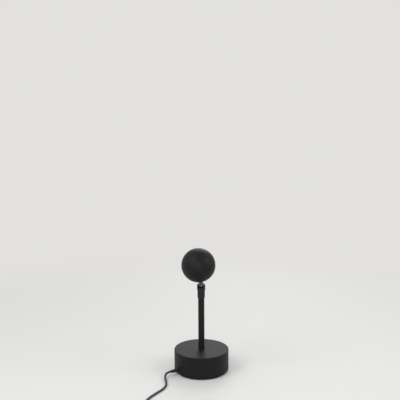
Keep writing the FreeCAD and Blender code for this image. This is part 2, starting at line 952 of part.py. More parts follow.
def make_ball_stud():
    """Ball, neck, flange and thread, turned from one bar and bored for the wires."""
    bore = stud_bore / 2
    neck = neck_diameter / 2
    flange = stud_flange / 2
    thread = stud_thread / 2
    flange_top = seat_face - seating_gap
    flange_low = flange_top - stud_flange_height
    return turned("ball_stud", [
        (bore, -side(ball_radius, bore)), (neck, side(ball_radius, neck)),
        (neck, flange_low - stud_flare_height), (flange, flange_low), (flange, flange_top),
        (thread, flange_top), (thread, stud_top), (bore, stud_top),
    ], (0,), neck_place)


def make_neck_washer():
    low = boss_face + contact_gap
    return ring("neck_washer", stud_thread + screw_clearance, neck_nut_flats + neck_washer_margin,
                low, low + neck_washer_thickness, neck_place)


def make_neck_nut():
    bore = stud_thread + thread_clearance
    return hex_nut("neck_nut", neck_nut_flats, bore, nut_low, neck_nut_height, neck_place)


# ---- head, in a frame with its origin at the ball's middle and +Z along the beam ----

shell_cavity = head_radius - head_wall
seam_radius = side(head_radius, head_seam)
front_radius = side(head_radius, head_front)
seam_bore = seam_radius - seam_wall
ledge_bore = seam_bore - ledge_depth
sink_front = head_seam - spigot_length - seating_gap
sink_back = sink_front - sink_thickness
ledge_top = sink_back - contact_gap
ledge_low = ledge_top - ledge_height


def make_rear_shell():
    """The deep half of the ball: a ledge inside for the heat sink, a boss and flat for the neck."""
    body = new_body("rear_shell")
    rim = head_seam - seam_break
    revolve(body, [
        (0, -head_radius), (side(head_radius, rim), rim), (seam_radius - seam_break, head_seam),
        (seam_bore, head_seam), (seam_bore, ledge_top), (ledge_bore, ledge_top), (ledge_bore, ledge_low),
        (side(shell_cavity, ledge_low), ledge_low), (0, -shell_cavity),
    ], arcs=(0, 7))
    flat = head_radius - seat_depth
    inner = flat - seat_boss_height
    boss = new_sketch(body, "XZ_Plane", inner)
    draw_circle(boss, seat_boss)
    pad(body, boss, seat_boss_height)
    face = new_sketch(body, "XZ_Plane", flat)
    draw_circle(face, seat_boss + seat_depth * 2)
    pocket(body, face, seat_depth * 2, backwards=True)
    hole = new_sketch(body, "XZ_Plane", head_radius)
    draw_circle(hole, stud_thread + screw_clearance)
    pocket(body, hole, seat_boss_height + seat_depth * 2)
    return finish(body, "rear_shell", head_place)


floor_top = head_front - gasket_thickness - filter_thickness - lens_edge - lens_recess
floor_low = floor_top - filter_floor
bezel_inner = lens_diameter / 2 + seating_gap
pocket_radius = bezel_inner + bezel_wall + thread_clearance
spigot_radius = seam_bore - seating_gap


def make_front_shell():
    """The ball's front: a spigot into the rear half and a stepped pocket for filter and lens."""
    spigot_bore = spigot_radius - spigot_wall
    spigot_end = head_seam - spigot_length
    floor_reach = side(shell_cavity, floor_low)
    rim = head_seam + seam_break
    return turned("front_shell", [
        (spigot_radius, spigot_end), (spigot_radius, head_seam), (seam_radius - seam_break, head_seam),
        (side(head_radius, rim), rim), (front_radius, head_front), (pocket_radius, head_front),
        (pocket_radius, floor_top),
        (filter_floor_bore / 2, floor_top), (filter_floor_bore / 2, floor_low),
        (floor_reach, floor_low), (spigot_bore, head_seam), (spigot_bore, spigot_end),
    ], (3,), head_place)


filter_low = floor_top + contact_gap
gasket_low = filter_low + filter_thickness + contact_gap
lens_low = gasket_low + gasket_thickness + contact_gap
lens_high = lens_low + lens_edge
bezel_low = head_front + contact_gap


def make_lens_bezel():
    """The screwed ring over the lens, with four notches for a ring spanner."""
    body = new_body("lens_bezel")
    outer = bezel_inner + bezel_wall
    lip = bezel_inner - bezel_lip
    top = head_front + bezel_height
    lip_low = lens_high + seating_gap
    revolve(body, [
        (bezel_inner, lens_low), (outer, lens_low), (outer, bezel_low),
        (front_radius - bezel_edge, bezel_low), (side(head_radius, top), top),
        (lip, top), (lip, lip_low), (bezel_inner, lip_low),
    ])
    notch = new_sketch(body, "XY_Plane", top)
    draw_rectangle(notch, lip - bezel_notch / 2, -bezel_notch / 2, bezel_inner, bezel_notch / 2)
    cut = pocket(body, notch, bezel_notch_depth)
    polar(body, [cut], bezel_notch_count)
    return finish(body, "lens_bezel", head_place)


def make_front_lens():
    """A plano-convex glass lens with a flat rim that the bezel presses on."""
    edge = lens_diameter / 2
    rim = edge - lens_rim
    return turned("front_lens", [
        (0, lens_low), (edge, lens_low), (edge, lens_high), (rim, lens_high), (0, lens_high + lens_bulge),
    ], (3,), head_place)


def make_lens_gasket():
    return ring("lens_gasket", lens_diameter - gasket_width * 2, lens_diameter - seating_gap * 2, gasket_low,
                gasket_low + gasket_thickness, head_place)


def make_colour_filter():
    edge = lens_diameter / 2 - seating_gap
    return turned("colour_filter", [
        (0, filter_low), (edge, filter_low), (edge, filter_low + filter_thickness),
        (0, filter_low + filter_thickness),
    ], (), head_place)


board_low = sink_front + contact_gap
board_high = board_low + board_thickness
condenser_low = floor_top - condenser_bulge - condenser_edge - condenser_gap
barrel_bore = condenser_diameter / 2 + seating_gap
barrel_throat = board_diameter / 2 + barrel_clearance


def make_lens_barrel():
    """A sleeve over the board that carries the condenser and is held under the front shell's floor."""
    outer = barrel_throat + barrel_wall
    flange_top = floor_low - contact_gap
    flange_low = flange_top - barrel_flange_height
    step = condenser_low - contact_gap
    return turned("lens_barrel", [
        (barrel_throat, board_low), (outer, board_low), (outer, flange_low), (barrel_flange / 2, flange_low),
        (barrel_flange / 2, flange_top), (barrel_bore, flange_top), (barrel_bore, step),
        (barrel_throat, step),
    ], (), head_place)


def make_condenser():
    """The small lens that gathers the emitter's light."""
    edge = condenser_diameter / 2
    high = condenser_low + condenser_edge
    return turned("condenser_lens", [
        (0, condenser_low), (edge, condenser_low), (edge, high), (0, high + condenser_bulge),
    ], (2,), head_place)


wire_row = fin_pitch / 2
wire_drop = board_diameter / 2 - wire_inset


def make_led_board():
    """A round metal-cored board with two screw holes."""
    body = new_body("led_board")
    sketch = new_sketch(body, "XY_Plane", board_low)
    draw_circle(sketch, board_diameter)
    for sign in (-1, 1):
        draw_circle(sketch, board_screw + screw_clearance, board_screw_circle * sign)
    pad(body, sketch, board_thickness)
    return finish(body, "led_board", head_place)


def make_led_emitter():
    """The emitter: a square ceramic base under a round window of phosphor."""
    body = new_body("led_emitter")
    half = emitter_side / 2
    base = new_sketch(body, "XY_Plane", board_high)
    draw_rectangle(base, -half, -half, half, half)
    pad(body, base, emitter_height)
    window = new_sketch(body, "XY_Plane", board_high + emitter_height)
    draw_circle(window, emitter_window)
    pad(body, window, emitter_window_height)
    return finish(body, "led_emitter", head_place)


def make_led_board_screws():
    places = [(Vector(board_screw_circle.value * sign, 0, board_high.value), up) for sign in (-1, 1)]
    return pan_screws("led_board_screws", places, board_screw_head, board_screw_head_height,
                      board_screw, board_thickness + sink_thickness, head_place)


def make_heat_sink():
    """A turned plate with a row of fins behind it, bored for the screws and the wires."""
    body = new_body("heat_sink")
    sketch = new_sketch(body, "XY_Plane", sink_back)
    draw_circle(sketch, spigot_radius * 2)
    pad(body, sketch, sink_thickness)
    edge = -fin_pitch * ((fin_count - 1) / 2) - fin_thickness / 2
    fin = new_sketch(body, "XY_Plane", sink_back)
    draw_rectangle(fin, edge, -fin_width / 2, edge + fin_thickness, fin_width / 2)
    fin_pad = pad(body, fin, fin_depth, backwards=True)
    row = body.newObject("PartDesign::LinearPattern", "heat_sink_row")
    row.Originals = [fin_pad]
    row.Direction = ([axis for axis in body.Origin.OriginFeatures if axis.Role == "X_Axis"][0], [""])
    row.setExpression("Length", (fin_pitch * (fin_count - 1)).text)
    row.Occurrences = fin_count
    body.Tip = row
    document.recompute()
    holes = new_sketch(body, "XY_Plane", sink_front)
    for sign in (-1, 1):
        draw_circle(holes, board_screw + screw_clearance, board_screw_circle * sign)
        draw_circle(holes, wire_diameter + wire_hole_clearance, wire_row * sign, -wire_drop)
    pocket(body, holes, sink_thickness)
    return finish(body, "heat_sink", head_place)


def make_head_leads():
    """Two wires from the stud's end, between the fins and through the plate to the board's back."""
    start = (stud_top - head_reach).value
    tubes = []
    for sign in (-1, 1):
        near = sign * wire_across.value
        row = sign * wire_row.value
        points = [
            Vector(near, start, 0),
            Vector(near, start + lead_run.value, 0),
            Vector(row, -wire_drop.value, lead_set_back.value),
            Vector(row, -wire_drop.value, board_low.value),
        ]
        tubes.append(swept(route_wire(points), wire_diameter.value, points[0], points[1] - points[0]))
    return feature_of("head_leads", Part.makeCompound(tubes), head_place)


# ---- the lead, its coil, the in-line switch and the plug, all on the table ----

cord_radius = cord_diameter.value / 2
coil_turns = 4
climb_turn = 0.5
coil_middle = Vector(-64.4, -184.0, cord_radius + tie_thickness.value + tie_slack.value)
coil_top = coil_middle.z + coil_pitch.value
switch_start = Vector(-12.0, -160.2, switch_cord_height.value)
plug_end = Vector(33.0, -188.2, plug_height.value / 2)
relief_end = at_angle((base_radius + relief_length).value, cord_angle_deg.value, cord_exit_height.value)


def arc_through(start, corner, end):
    """The arc that touches start-corner and corner-end, two lines of equal length."""
    chord = end - start
    half = chord.Length / 2
    turn = (corner - start).getAngle(end - corner)
    middle = (start + end) / 2
    outward = (corner - middle).normalize()
    return Part.Arc(start, middle + outward * half * math.tan(turn / 4), end).toShape()


def biarc(start, into, end, out):
    """Two tangent arcs from start, leaving along into, to end, arriving along out."""
    across = end - start
    both = into + out
    facing = across.dot(both)
    spread = 2 * (1 - into.dot(out))
    reach = (-facing + math.sqrt(facing ** 2 + spread * across.dot(across))) / spread
    join = (start + end + (into - out) * reach) / 2
    return [arc_through(start, start + into * reach, join), arc_through(join, end - out * reach, end)]


def coil_point(turn):
    """Where the coil is after a number of turns: in along the lower layer, out along the upper."""
    climb_end = coil_turns + climb_turn
    radius = coil_outer.value - coil_pitch.value * min(turn, coil_turns)
    radius += coil_pitch.value * max(turn - climb_end, 0)
    layer = 0.0 if turn < coil_turns + climb_turn / 2 else coil_pitch.value
    angle = math.pi * (1 + 2 * turn)
    return coil_middle + Vector(radius * math.cos(angle), radius * math.sin(angle), layer)


def coil_heading(turn):
    """The direction of the coil there; it drifts in on the lower layer and out on the upper."""
    angle = math.pi * (1 + 2 * turn)
    point = coil_point(turn) - coil_middle
    radius = math.hypot(point.x, point.y)
    drift = coil_pitch.value / (2 * math.pi) * (-1 if turn < coil_turns + climb_turn / 2 else 1)
    outward = Vector(math.cos(angle), math.sin(angle), 0)
    along = Vector(-math.sin(angle), math.cos(angle), 0)
    return (along * radius + outward * drift).normalize()


coil_total = coil_turns * 2 + climb_turn
coil_start = coil_point(0) - coil_heading(0) * cord_diameter.value
coil_end = coil_point(coil_total) + coil_heading(coil_total) * cord_diameter.value
relief_heading = at_angle(1.0, cord_angle_deg.value)

free_route = [
    relief_end,
    relief_end + relief_heading * relief_lead_out.value,
    Vector(-64.4, -37.0, 6.0),
    Vector(-65.0, -46.0, 3.0),
    Vector(-61.9, -58.0, 1.9),
    Vector(-60.7, -72.0, 1.95),
    Vector(-65.3, -87.5, 1.9),
    Vector(-76.5, -103.5, 1.95),
    Vector(-87.4, -121.5, 1.9),
    Vector(-94.3, -143.5, 2.1),
    coil_start - coil_heading(0) * coil_lead_in.value,
    coil_start,
]
switch_route = [
    coil_end,
    coil_end + coil_heading(coil_total) * 6.4,
    Vector(-30.3, -166.8, 6.0),
    Vector(-24.8, -161.9, 5.1),
    switch_start - Vector(6.0, 0, 0),
    switch_start,
]
plug_route = [
    switch_start + Vector(switch_length.value, 0, 0),
    switch_start + Vector(switch_length.value + 7.0, 0, 0),
    Vector(45.6, -163.9, 3.3),
    Vector(49.4, -170.8, 2.2),
    Vector(49.4, -178.2, 2.0),
    Vector(46.0, -184.7, 2.8),
    plug_end + Vector(6.8, 0, 0),
    plug_end,
]


def self_gap(wire, diameter):
    """The least free distance between turns, measured on points 1 mm apart."""
    points = wire.discretize(Distance=1.0)
    skip = int(math.pi * diameter)
    least = min(
        points[first].distanceToPoint(points[second])
        for first in range(len(points))
        for second in range(first + skip, len(points))
    )
    return least - diameter


def make_cord_coil():
    """The rest of the lead in a neat coil of two layers, one unbroken tube."""
    quarter_turns = [number / 4 for number in range(coil_turns * 4 + 1)]
    stops = quarter_turns + [coil_turns + climb_turn + turn for turn in quarter_turns]
    edges = [Part.LineSegment(coil_start, coil_point(0)).toShape()]
    for before, after in zip(stops, stops[1:]):
        edges += biarc(coil_point(before), coil_heading(before), coil_point(after), coil_heading(after))
    edges.append(Part.LineSegment(coil_point(coil_total), coil_end).toShape())
    wire = Part.Wire(edges)
    tube = swept(wire, cord_diameter.value, coil_start, coil_heading(0))
    expected = math.pi * cord_radius ** 2 * wire.Length
    gap = self_gap(wire, cord_diameter.value)
    print("cord_coil length", round(wire.Length, 1), "least gap", round(gap, 2),
          "volume", round(tube.Volume / expected, 4))
    return feature_of("cord_coil", tube)


def make_cord_tie():
    """A flat strap round all the turns on the coil's near side."""
    near = coil_middle.y - coil_outer.value - cord_radius - tie_slack.value - tie_outside_gap.value
    inner_turn = coil_outer.value - coil_pitch.value * coil_turns - cord_radius
    far = coil_middle.y - inner_turn + tie_slack.value + tie_inside_gap.value
    low = tie_thickness.value
    high = coil_top + cord_radius + tie_slack.value
    width = tie_width.value
    strap = tie_thickness.value
    left = coil_middle.x - width / 2
    corner = Vector(left, near - strap, low - strap)
    outer = Part.makeBox(width, far - near + strap * 2, high - low + strap * 2, corner)
    outer = outer.makeFillet(tie_round.value + strap, [edge for edge in outer.Edges if edge_runs(edge, "x")])
    hollow = Part.makeBox(width, far - near, high - low, Vector(left, near, low))
    hollow = hollow.makeFillet(tie_round.value, [edge for edge in hollow.Edges if edge_runs(edge, "x")])
    return feature_of("cord_tie", outer.cut(hollow))


switch_place = Placement(Vector(switch_start.x, switch_start.y, 0), Rotation())


def rounded_block(body, low, height, half_width, length, corner_round):
    """A block along +X with its upright edges rounded."""
    sketch = new_sketch(body, "XY_Plane", low)
    draw_rectangle(sketch, 0, -half_width, length, half_width)
    pad(body, sketch, height)
    edges = enumerate(body.Shape.Edges, 1)
    upright = ["Edge" + str(number) for number, edge in edges if edge_runs(edge, "z")]
    return fillet(body, upright, corner_round)


def face_edges(shape, height):
    """The names of the edges that lie in one level plane."""
    names = []
    for number, edge in enumerate(shape.Edges, 1):
        if all(abs(vertex.Point.z - height) < same_place for vertex in edge.Vertexes):
            names.append("Edge" + str(number))
    return names


switch_half = switch_width / 2
switch_lip = switch_split + switch_lid_gap
switch_inner = switch_half - switch_wall
screw_first = switch_corner / 2 + switch_screw_shift
screw_last = switch_length - screw_first
screw_across = switch_half - switch_corner / 2 - switch_screw_inset


def make_switch_lower():
    """The lower housing: an open tray with a floor, a cord hole at each end and two screw holes."""
    body = new_body("switch_lower")
    rounded_block(body, as_size(0), switch_split, switch_half, switch_length, switch_corner)
    fillet(body, face_edges(body.Shape, 0.0), switch_rim_round)
    cavity = new_sketch(body, "XY_Plane", switch_split)
    draw_rectangle(cavity, switch_corner, -switch_inner, switch_length - switch_corner, switch_inner)
    pocket(body, cavity, switch_split - switch_wall)
    bore = new_sketch(body, "YZ_Plane")
    draw_circle(bore, cord_diameter + relief_clearance, 0, switch_cord_height)
    pocket(body, bore, switch_length, backwards=True)
    screws = new_sketch(body, "XY_Plane")
    for along in (screw_first, screw_last):
        draw_circle(screws, board_screw + screw_clearance, along, screw_across)
    pocket(body, screws, switch_split, backwards=True)
    return finish(body, "switch_lower", switch_place)


def make_switch_upper():
    """The upper housing: a lid with a round opening for the button."""
    body = new_body("switch_upper")
    rounded_block(body, switch_lip, switch_height - switch_lip, switch_half, switch_length, switch_corner)
    fillet(body, face_edges(body.Shape, switch_height.value), switch_round)
    cavity = new_sketch(body, "XY_Plane", switch_lip)
    draw_rectangle(cavity, switch_corner, -switch_inner, switch_length - switch_corner, switch_inner)
    pocket(body, cavity, switch_height - switch_lip - switch_wall, backwards=True)
    hole = new_sketch(body, "XY_Plane", switch_height)
    draw_circle(hole, button_diameter + button_clearance * 2, switch_length / 2)
    pocket(body, hole, switch_wall * 2)
    return finish(body, "switch_upper", switch_place)


board_level = switch_cord_height - switch_board_drop
tact_low = board_level + switch_board_thickness
plunger_top = switch_height - switch_wall - button_travel - tact_gap - contact_gap * 2
plunger_low = plunger_top - plunger_height


def make_switch_button():
    """A round button with a flange below the lid and a shallow dish on top."""
    body = new_body("switch_button")
    radius = button_diameter / 2
    flange = radius + button_flange
    underside = switch_height - switch_wall - contact_gap
    flange_low = underside - button_flange
    top = switch_height + button_proud
    revolve(body, [
        (0, flange_low), (flange, flange_low), (flange, underside), (radius, underside),
        (radius, top - button_edge), (radius - button_edge, top), (radius - button_land, top),
        (0, top - button_dish),
    ])
    place = switch_place.multiply(Placement(Vector(switch_length.value / 2, 0, 0), Rotation()))
    return finish(body, "switch_button", place)


def make_switch_board():
    """The switch's board with a tact switch under the button."""
    body = new_body("switch_board")
    bare = new_sketch(body, "XY_Plane", board_level)
    end = switch_corner + switch_board_margin
    reach = switch_inner - switch_board_clearance
    draw_rectangle(bare, end, -reach, switch_length - end, reach)
    pad(body, bare, switch_board_thickness)
    tact = new_sketch(body, "XY_Plane", tact_low)
    middle = switch_length / 2
    half = tact_side / 2
    draw_rectangle(tact, middle - half, -half, middle + half, half)
    pad(body, tact, plunger_low - tact_low)
    plunger = new_sketch(body, "XY_Plane", plunger_low)
    draw_circle(plunger, plunger_diameter, middle)
    pad(body, plunger, plunger_height)
    return finish(body, "switch_board", switch_place)


def make_switch_screws():
    places = []
    for along in (screw_first, screw_last):
        places.append((Vector(along.value, screw_across.value, switch_screw_sink.value), -up))
    shank = switch_split - switch_screw_sink - seating_gap
    return pan_screws("switch_screws", places, board_screw, switch_screw_head,
                      board_screw, shank, switch_place)


plug_place = Placement(plug_end, Rotation(up, 180.0))


def make_plug_body():
    """The plug's moulded grip and its short neck round the lead."""
    body = new_body("plug_body")
    low = -plug_height / 2
    sketch = new_sketch(body, "XY_Plane", low)
    draw_rectangle(sketch, plug_neck_length, -plug_width / 2, plug_length, plug_width / 2)
    pad(body, sketch, plug_height)
    every_edge = ["Edge" + str(number) for number, edge in enumerate(body.Shape.Edges, 1)]
    fillet(body, every_edge, plug_round)
    neck = new_sketch(body, "YZ_Plane", plug_neck_length + plug_round)
    draw_circle(neck, plug_neck)
    pad(body, neck, plug_neck_length + plug_round, backwards=True)
    socket = new_sketch(body, "YZ_Plane", plug_length)
    draw_rectangle(socket, -plug_shell_width / 2, -plug_shell_height / 2, plug_shell_width / 2,
                   plug_shell_height / 2)
    pocket(body, socket, plug_socket_depth)
    return finish(body, "plug_body", plug_place)


def make_plug_shell():
    """The folded steel shell of the plug, a thin rectangular tube with two latch windows."""
    body = new_body("plug_shell")
    start = plug_length - plug_socket_depth + seating_gap
    length = plug_shell_length + plug_socket_depth - seating_gap
    sketch = new_sketch(body, "YZ_Plane", start)
    across = plug_shell_width / 2 - contact_gap
    rise = plug_shell_height / 2 - contact_gap
    draw_rectangle(sketch, -across, -rise, across, rise)
    pad(body, sketch, length)
    bore = new_sketch(body, "YZ_Plane", start)
    draw_rectangle(bore, plug_shell_wall - across, plug_shell_wall - rise, across - plug_shell_wall,
                   rise - plug_shell_wall)
    pocket(body, bore, length, backwards=True)
    window = new_sketch(body, "XY_Plane", rise)
    for sign in (-1, 1):
        middle = plug_shell_width / 4 * sign
        reach = plug_length + plug_window_reach
        draw_rectangle(window, reach, middle - plug_window / 2, reach + plug_window_length,
                       middle + plug_window / 2)
    pocket(body, window, plug_shell_wall)
    return finish(body, "plug_shell", plug_place)


def make_plug_tongue():
    """The insulating tongue that carries the four contacts."""
    body = new_body("plug_tongue")
    inner = plug_shell_width / 2 - plug_shell_wall - tongue_clearance
    low = plug_shell_wall + tongue_gap - plug_shell_height / 2
    sketch = new_sketch(body, "XY_Plane", low)
    start = plug_length - plug_socket_depth + seating_gap * 2
    draw_rectangle(sketch, start, -inner, plug_length + plug_shell_length - tongue_set_back, inner)
    pad(body, sketch, tongue_height)
    return finish(body, "plug_tongue", plug_place)


make_foot_pad()
make_base_shell()
make_bottom_plate()
make_plate_screws()
make_base_weight()
make_driver_board()
make_driver_screws()
make_inner_lead()
make_strain_relief()
make_stem_leads()
make_stem()
make_stem_washer()
make_stem_nut()
make_swivel_bushing()
make_joint_cup()
make_joint_collar()
make_friction_pad()
make_disc_spring()
make_ball_stud()
make_neck_washer()
make_neck_nut()
make_rear_shell()
make_front_shell()
make_lens_bezel()
make_front_lens()
make_lens_gasket()
make_colour_filter()
make_lens_barrel()
make_condenser()
make_led_board()
make_led_emitter()
make_led_board_screws()
make_heat_sink()
make_head_leads()
lead("power_cord", free_route, cord_diameter.value)
make_cord_coil()
make_cord_tie()
lead("switch_cord", switch_route, cord_diameter.value)
lead("plug_cord", plug_route, cord_diameter.value)
make_switch_lower()
make_switch_upper()
make_switch_button()
make_switch_board()
make_switch_screws()
make_plug_body()
make_plug_shell()
make_plug_tongue()
document.recompute()

for thing in document.Objects:
    if "Invalid" in thing.State or "Error" in thing.State:
        raise RuntimeError(thing.Name + " failed: " + str(thing.State))
for part in parts:
    if part.Shape.isNull() or not part.Shape.isValid() or not part.Shape.Solids:
        raise RuntimeError(part.Label + " has no valid solid")

os.makedirs("parts", exist_ok=True)
for part in parts:
    part.Shape.exportStep("parts/" + part.Label + ".step")
print(len(parts), "sub-parts written")
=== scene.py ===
import math

import bmesh
import bpy
from mathutils import Matrix, Vector


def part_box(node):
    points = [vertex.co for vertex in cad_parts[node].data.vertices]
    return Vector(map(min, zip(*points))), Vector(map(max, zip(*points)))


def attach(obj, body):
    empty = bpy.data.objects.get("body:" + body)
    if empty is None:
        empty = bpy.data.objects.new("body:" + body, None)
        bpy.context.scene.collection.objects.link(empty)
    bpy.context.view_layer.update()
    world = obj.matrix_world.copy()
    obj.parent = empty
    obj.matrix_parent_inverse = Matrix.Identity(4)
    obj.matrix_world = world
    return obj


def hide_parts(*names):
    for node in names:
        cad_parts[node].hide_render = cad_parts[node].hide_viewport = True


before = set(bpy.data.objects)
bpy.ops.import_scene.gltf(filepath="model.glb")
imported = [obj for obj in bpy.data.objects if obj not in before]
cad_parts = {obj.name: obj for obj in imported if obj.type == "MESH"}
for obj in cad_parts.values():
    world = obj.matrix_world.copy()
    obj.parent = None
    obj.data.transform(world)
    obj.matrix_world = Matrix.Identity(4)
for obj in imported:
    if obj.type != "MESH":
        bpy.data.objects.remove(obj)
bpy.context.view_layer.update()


# Camera: about a metre behind the lamp and well above its head, with a standard lens. It looks
# slightly down and is turned a touch clockwise, so that the stem leans as it does from there.
camera_place = Vector((-0.0013, -0.950, 0.3989))
degrees_down = 5.04
degrees_clockwise = 0.29
camera_data = bpy.data.cameras.new("camera")
camera_data.sensor_width = 36.0
camera_data.lens = 47.59
camera = bpy.data.objects.new("camera", camera_data)
bpy.context.scene.collection.objects.link(camera)
camera_pitch = Matrix.Rotation(math.radians(90.0 - degrees_down), 4, "X")
camera_roll = Matrix.Rotation(math.radians(-degrees_clockwise), 4, "Z")
camera.matrix_world = Matrix.Translation(camera_place) @ camera_pitch @ camera_roll
bpy.context.scene.camera = camera
bpy.context.scene.view_settings.view_transform = "Standard"


# Lead: a limp two-core cord with a round PVC jacket, extruded in one length. It leaves the
# drum low on its left, drops to the table, runs to a tied coil, goes on through the in-line
# switch and ends in the plug.
def colour(hex_code):
    """An sRGB colour such as "#1a1a1a" as linear red, green, blue and alpha."""
    channels = [int(hex_code[first:first + 2], 16) / 255 for first in (1, 3, 5)]
    linear = [c / 12.92 if c <= 0.04045 else ((c + 0.055) / 1.055) ** 2.4 for c in channels]
    return (*linear, 1.0)


def start_material(name):
    material = bpy.data.materials.new(name)
    material.use_nodes = True
    material.node_tree.nodes.clear()
    return material


def add(owner, kind, inputs=None, **settings):
    """Adds one node; inputs gives each socket a value or another node's output."""
    made = owner.node_tree.nodes.new(kind)
    for name, value in settings.items():
        setattr(made, name, value)
    for socket, value in (inputs or {}).items():
        if isinstance(value, bpy.types.NodeSocket):
            owner.node_tree.links.new(value, made.inputs[socket])
        else:
            made.inputs[socket].default_value = value
    return made


# Sizes are in metres. A pattern's size is given in millimetres.
mm = 0.001

# Soft extruded PVC: a satin skin, uneven in tone every 3 mm, with a grain of 0.7 mm.
cord_jacket = start_material("black PVC jacket, extruded")
place = add(cord_jacket, "ShaderNodeTexCoord").outputs["Object"]
drift = add(cord_jacket, "ShaderNodeTexNoise",
            {"Vector": place, "Scale": 1 / (3 * mm), "Detail": 3.0})
skin = add(cord_jacket, "ShaderNodeTexNoise",
           {"Vector": place, "Scale": 1 / (0.7 * mm), "Detail": 2.0})
tone = add(cord_jacket, "ShaderNodeMix",
           {"Factor": drift.outputs["Fac"], "A": colour("#141414"), "B": colour("#1d1d1e")},
           data_type="RGBA")
gloss = add(cord_jacket, "ShaderNodeMapRange",
            {"Value": skin.outputs["Fac"], "To Min": 0.34, "To Max": 0.48})
relief = add(cord_jacket, "ShaderNodeBump",
             {"Strength": 0.25, "Distance": 0.06 * mm, "Height": skin.outputs["Fac"]})
shader = add(cord_jacket, "ShaderNodeBsdfPrincipled",
             {"Base Color": tone.outputs["Result"], "Roughness": gloss.outputs["Result"],
              "Normal": relief.outputs["Normal"]})
add(cord_jacket, "ShaderNodeOutputMaterial", {"Surface": shader.outputs[0]})

cord_diameter = 0.0037
coil_middle = Vector((-0.0644, -0.184, 0.00245))
coil_outer = 0.0306
coil_pitch = 0.00435
coil_turns = 4
climb_turns = 0.5
climb_dip = 0.0012
steps_per_turn = 16


def coil_point(turn):
    """In along the lower layer, up a layer in half a turn, and out along the upper one."""
    climb = min(max((turn - coil_turns) / climb_turns, 0.0), 1.0)
    turns_in = min(turn, coil_turns)
    turns_out = max(turn - coil_turns - climb_turns, 0.0)
    radius = coil_outer - coil_pitch * turns_in + coil_pitch * turns_out
    radius -= climb_dip * math.sin(math.pi * climb)
    # The curve runs just inside its points, so they stand a little further out.
    radius /= math.cos(math.pi / steps_per_turn)
    rise = coil_pitch * (1 - math.cos(math.pi * climb)) / 2
    angle = math.pi * (1 + 2 * turn)
    return coil_middle + Vector((radius * math.cos(angle), radius * math.sin(angle), rise))


relief_tip = Vector((-0.055626, -0.029577, 0.008))
relief_heading = Vector((-0.882948, -0.469472, 0.0))
straight_out = 0.0055
coil_steps = int((coil_turns * 2 + climb_turns) * steps_per_turn)
cord_route = [
    relief_tip,
    relief_tip + relief_heading * straight_out,
    Vector((-0.0644, -0.0370, 0.0060)),
    Vector((-0.0650, -0.0460, 0.0030)),
    Vector((-0.0619, -0.0580, 0.0019)),
    Vector((-0.0607, -0.0720, 0.00195)),
    Vector((-0.0653, -0.0875, 0.0019)),
    Vector((-0.0765, -0.1035, 0.00195)),
    Vector((-0.0874, -0.1215, 0.0019)),
    Vector((-0.0943, -0.1435, 0.0021)),
    Vector((-0.0952, -0.1655, 0.00245)),
]
cord_route += [coil_point(step / steps_per_turn) for step in range(coil_steps + 1)]
cord_route += [
    Vector((-0.0336, -0.1740, 0.0068)),
    Vector((-0.0303, -0.1668, 0.0060)),
    Vector((-0.0248, -0.1619, 0.0051)),
    Vector((-0.0180, -0.1602, 0.0042)),
    Vector((-0.0120, -0.1602, 0.0042)),
    Vector((0.0100, -0.1602, 0.0042)),
    Vector((0.0320, -0.1602, 0.0042)),
    Vector((0.0390, -0.1602, 0.0042)),
    Vector((0.0456, -0.1639, 0.0033)),
    Vector((0.0494, -0.1708, 0.0022)),
    Vector((0.0494, -0.1782, 0.0020)),
    Vector((0.0460, -0.1847, 0.0028)),
    Vector((0.0398, -0.1882, 0.0042)),
    Vector((0.0330, -0.1882, 0.0042)),
]
cord_data = bpy.data.curves.new("lead", "CURVE")
cord_data.dimensions = "3D"
cord_data.bevel_depth = cord_diameter / 2
cord_data.bevel_resolution = 3
cord_data.resolution_u = 5
cord_data.use_fill_caps = True
line = cord_data.splines.new("NURBS")
line.points.add(len(cord_route) - 1)
for point, position in zip(line.points, cord_route):
    point.co = (*position, 1.0)
line.order_u = 3
line.use_endpoint_u = True
cord = bpy.data.objects.new("lead", cord_data)
bpy.context.scene.collection.objects.link(cord)
cord_data.materials.append(cord_jacket)
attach(cord, "stand")
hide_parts("power_cord", "cord_coil", "switch_cord", "plug_cord")


# Coil tie: a strap of woven nylon hook-and-loop tape, 9 mm wide, wrapped once round all the
# turns and pressed shut on itself, with its tail lying on top.
def new_piece(name, form, *materials):
    """Makes an object at the origin from a bmesh."""
    mesh = bpy.data.meshes.new(name)
    form.to_mesh(mesh)
    form.free()
    piece = bpy.data.objects.new(name, mesh)
    bpy.context.scene.collection.objects.link(piece)
    for material in materials:
        mesh.materials.append(material)
    return piece


# Woven nylon: threads of 0.4 mm cross over and under, drawn 0.8 mm apart so that they show.
# Wave bands lie 0.314 of a unit apart at a scale of 1.
band_pitch = 0.314
thread_pitch = 0.8 * mm
tie_tape = start_material("black nylon tape, woven")
place = add(tie_tape, "ShaderNodeTexCoord").outputs["Object"]
warp = add(tie_tape, "ShaderNodeTexWave",
           {"Vector": place, "Scale": band_pitch / thread_pitch, "Distortion": 0.4},
           bands_direction="X")
weft = add(tie_tape, "ShaderNodeTexWave",
           {"Vector": place, "Scale": band_pitch / thread_pitch, "Distortion": 0.4},
           bands_direction="Y")
cloth = add(tie_tape, "ShaderNodeMath",
            {0: warp.outputs["Fac"], 1: weft.outputs["Fac"]}, operation="MULTIPLY")
tone = add(tie_tape, "ShaderNodeMix",
           {"Factor": cloth.outputs[0], "A": colour("#121213"), "B": colour("#2b2b2d")},
           data_type="RGBA")
relief = add(tie_tape, "ShaderNodeBump",
             {"Strength": 0.6, "Distance": 0.15 * mm, "Height": cloth.outputs[0]})
shader = add(tie_tape, "ShaderNodeBsdfPrincipled",
             {"Base Color": tone.outputs["Result"], "Roughness": 0.85, "Sheen Weight": 0.3,
              "Normal": relief.outputs["Normal"]})
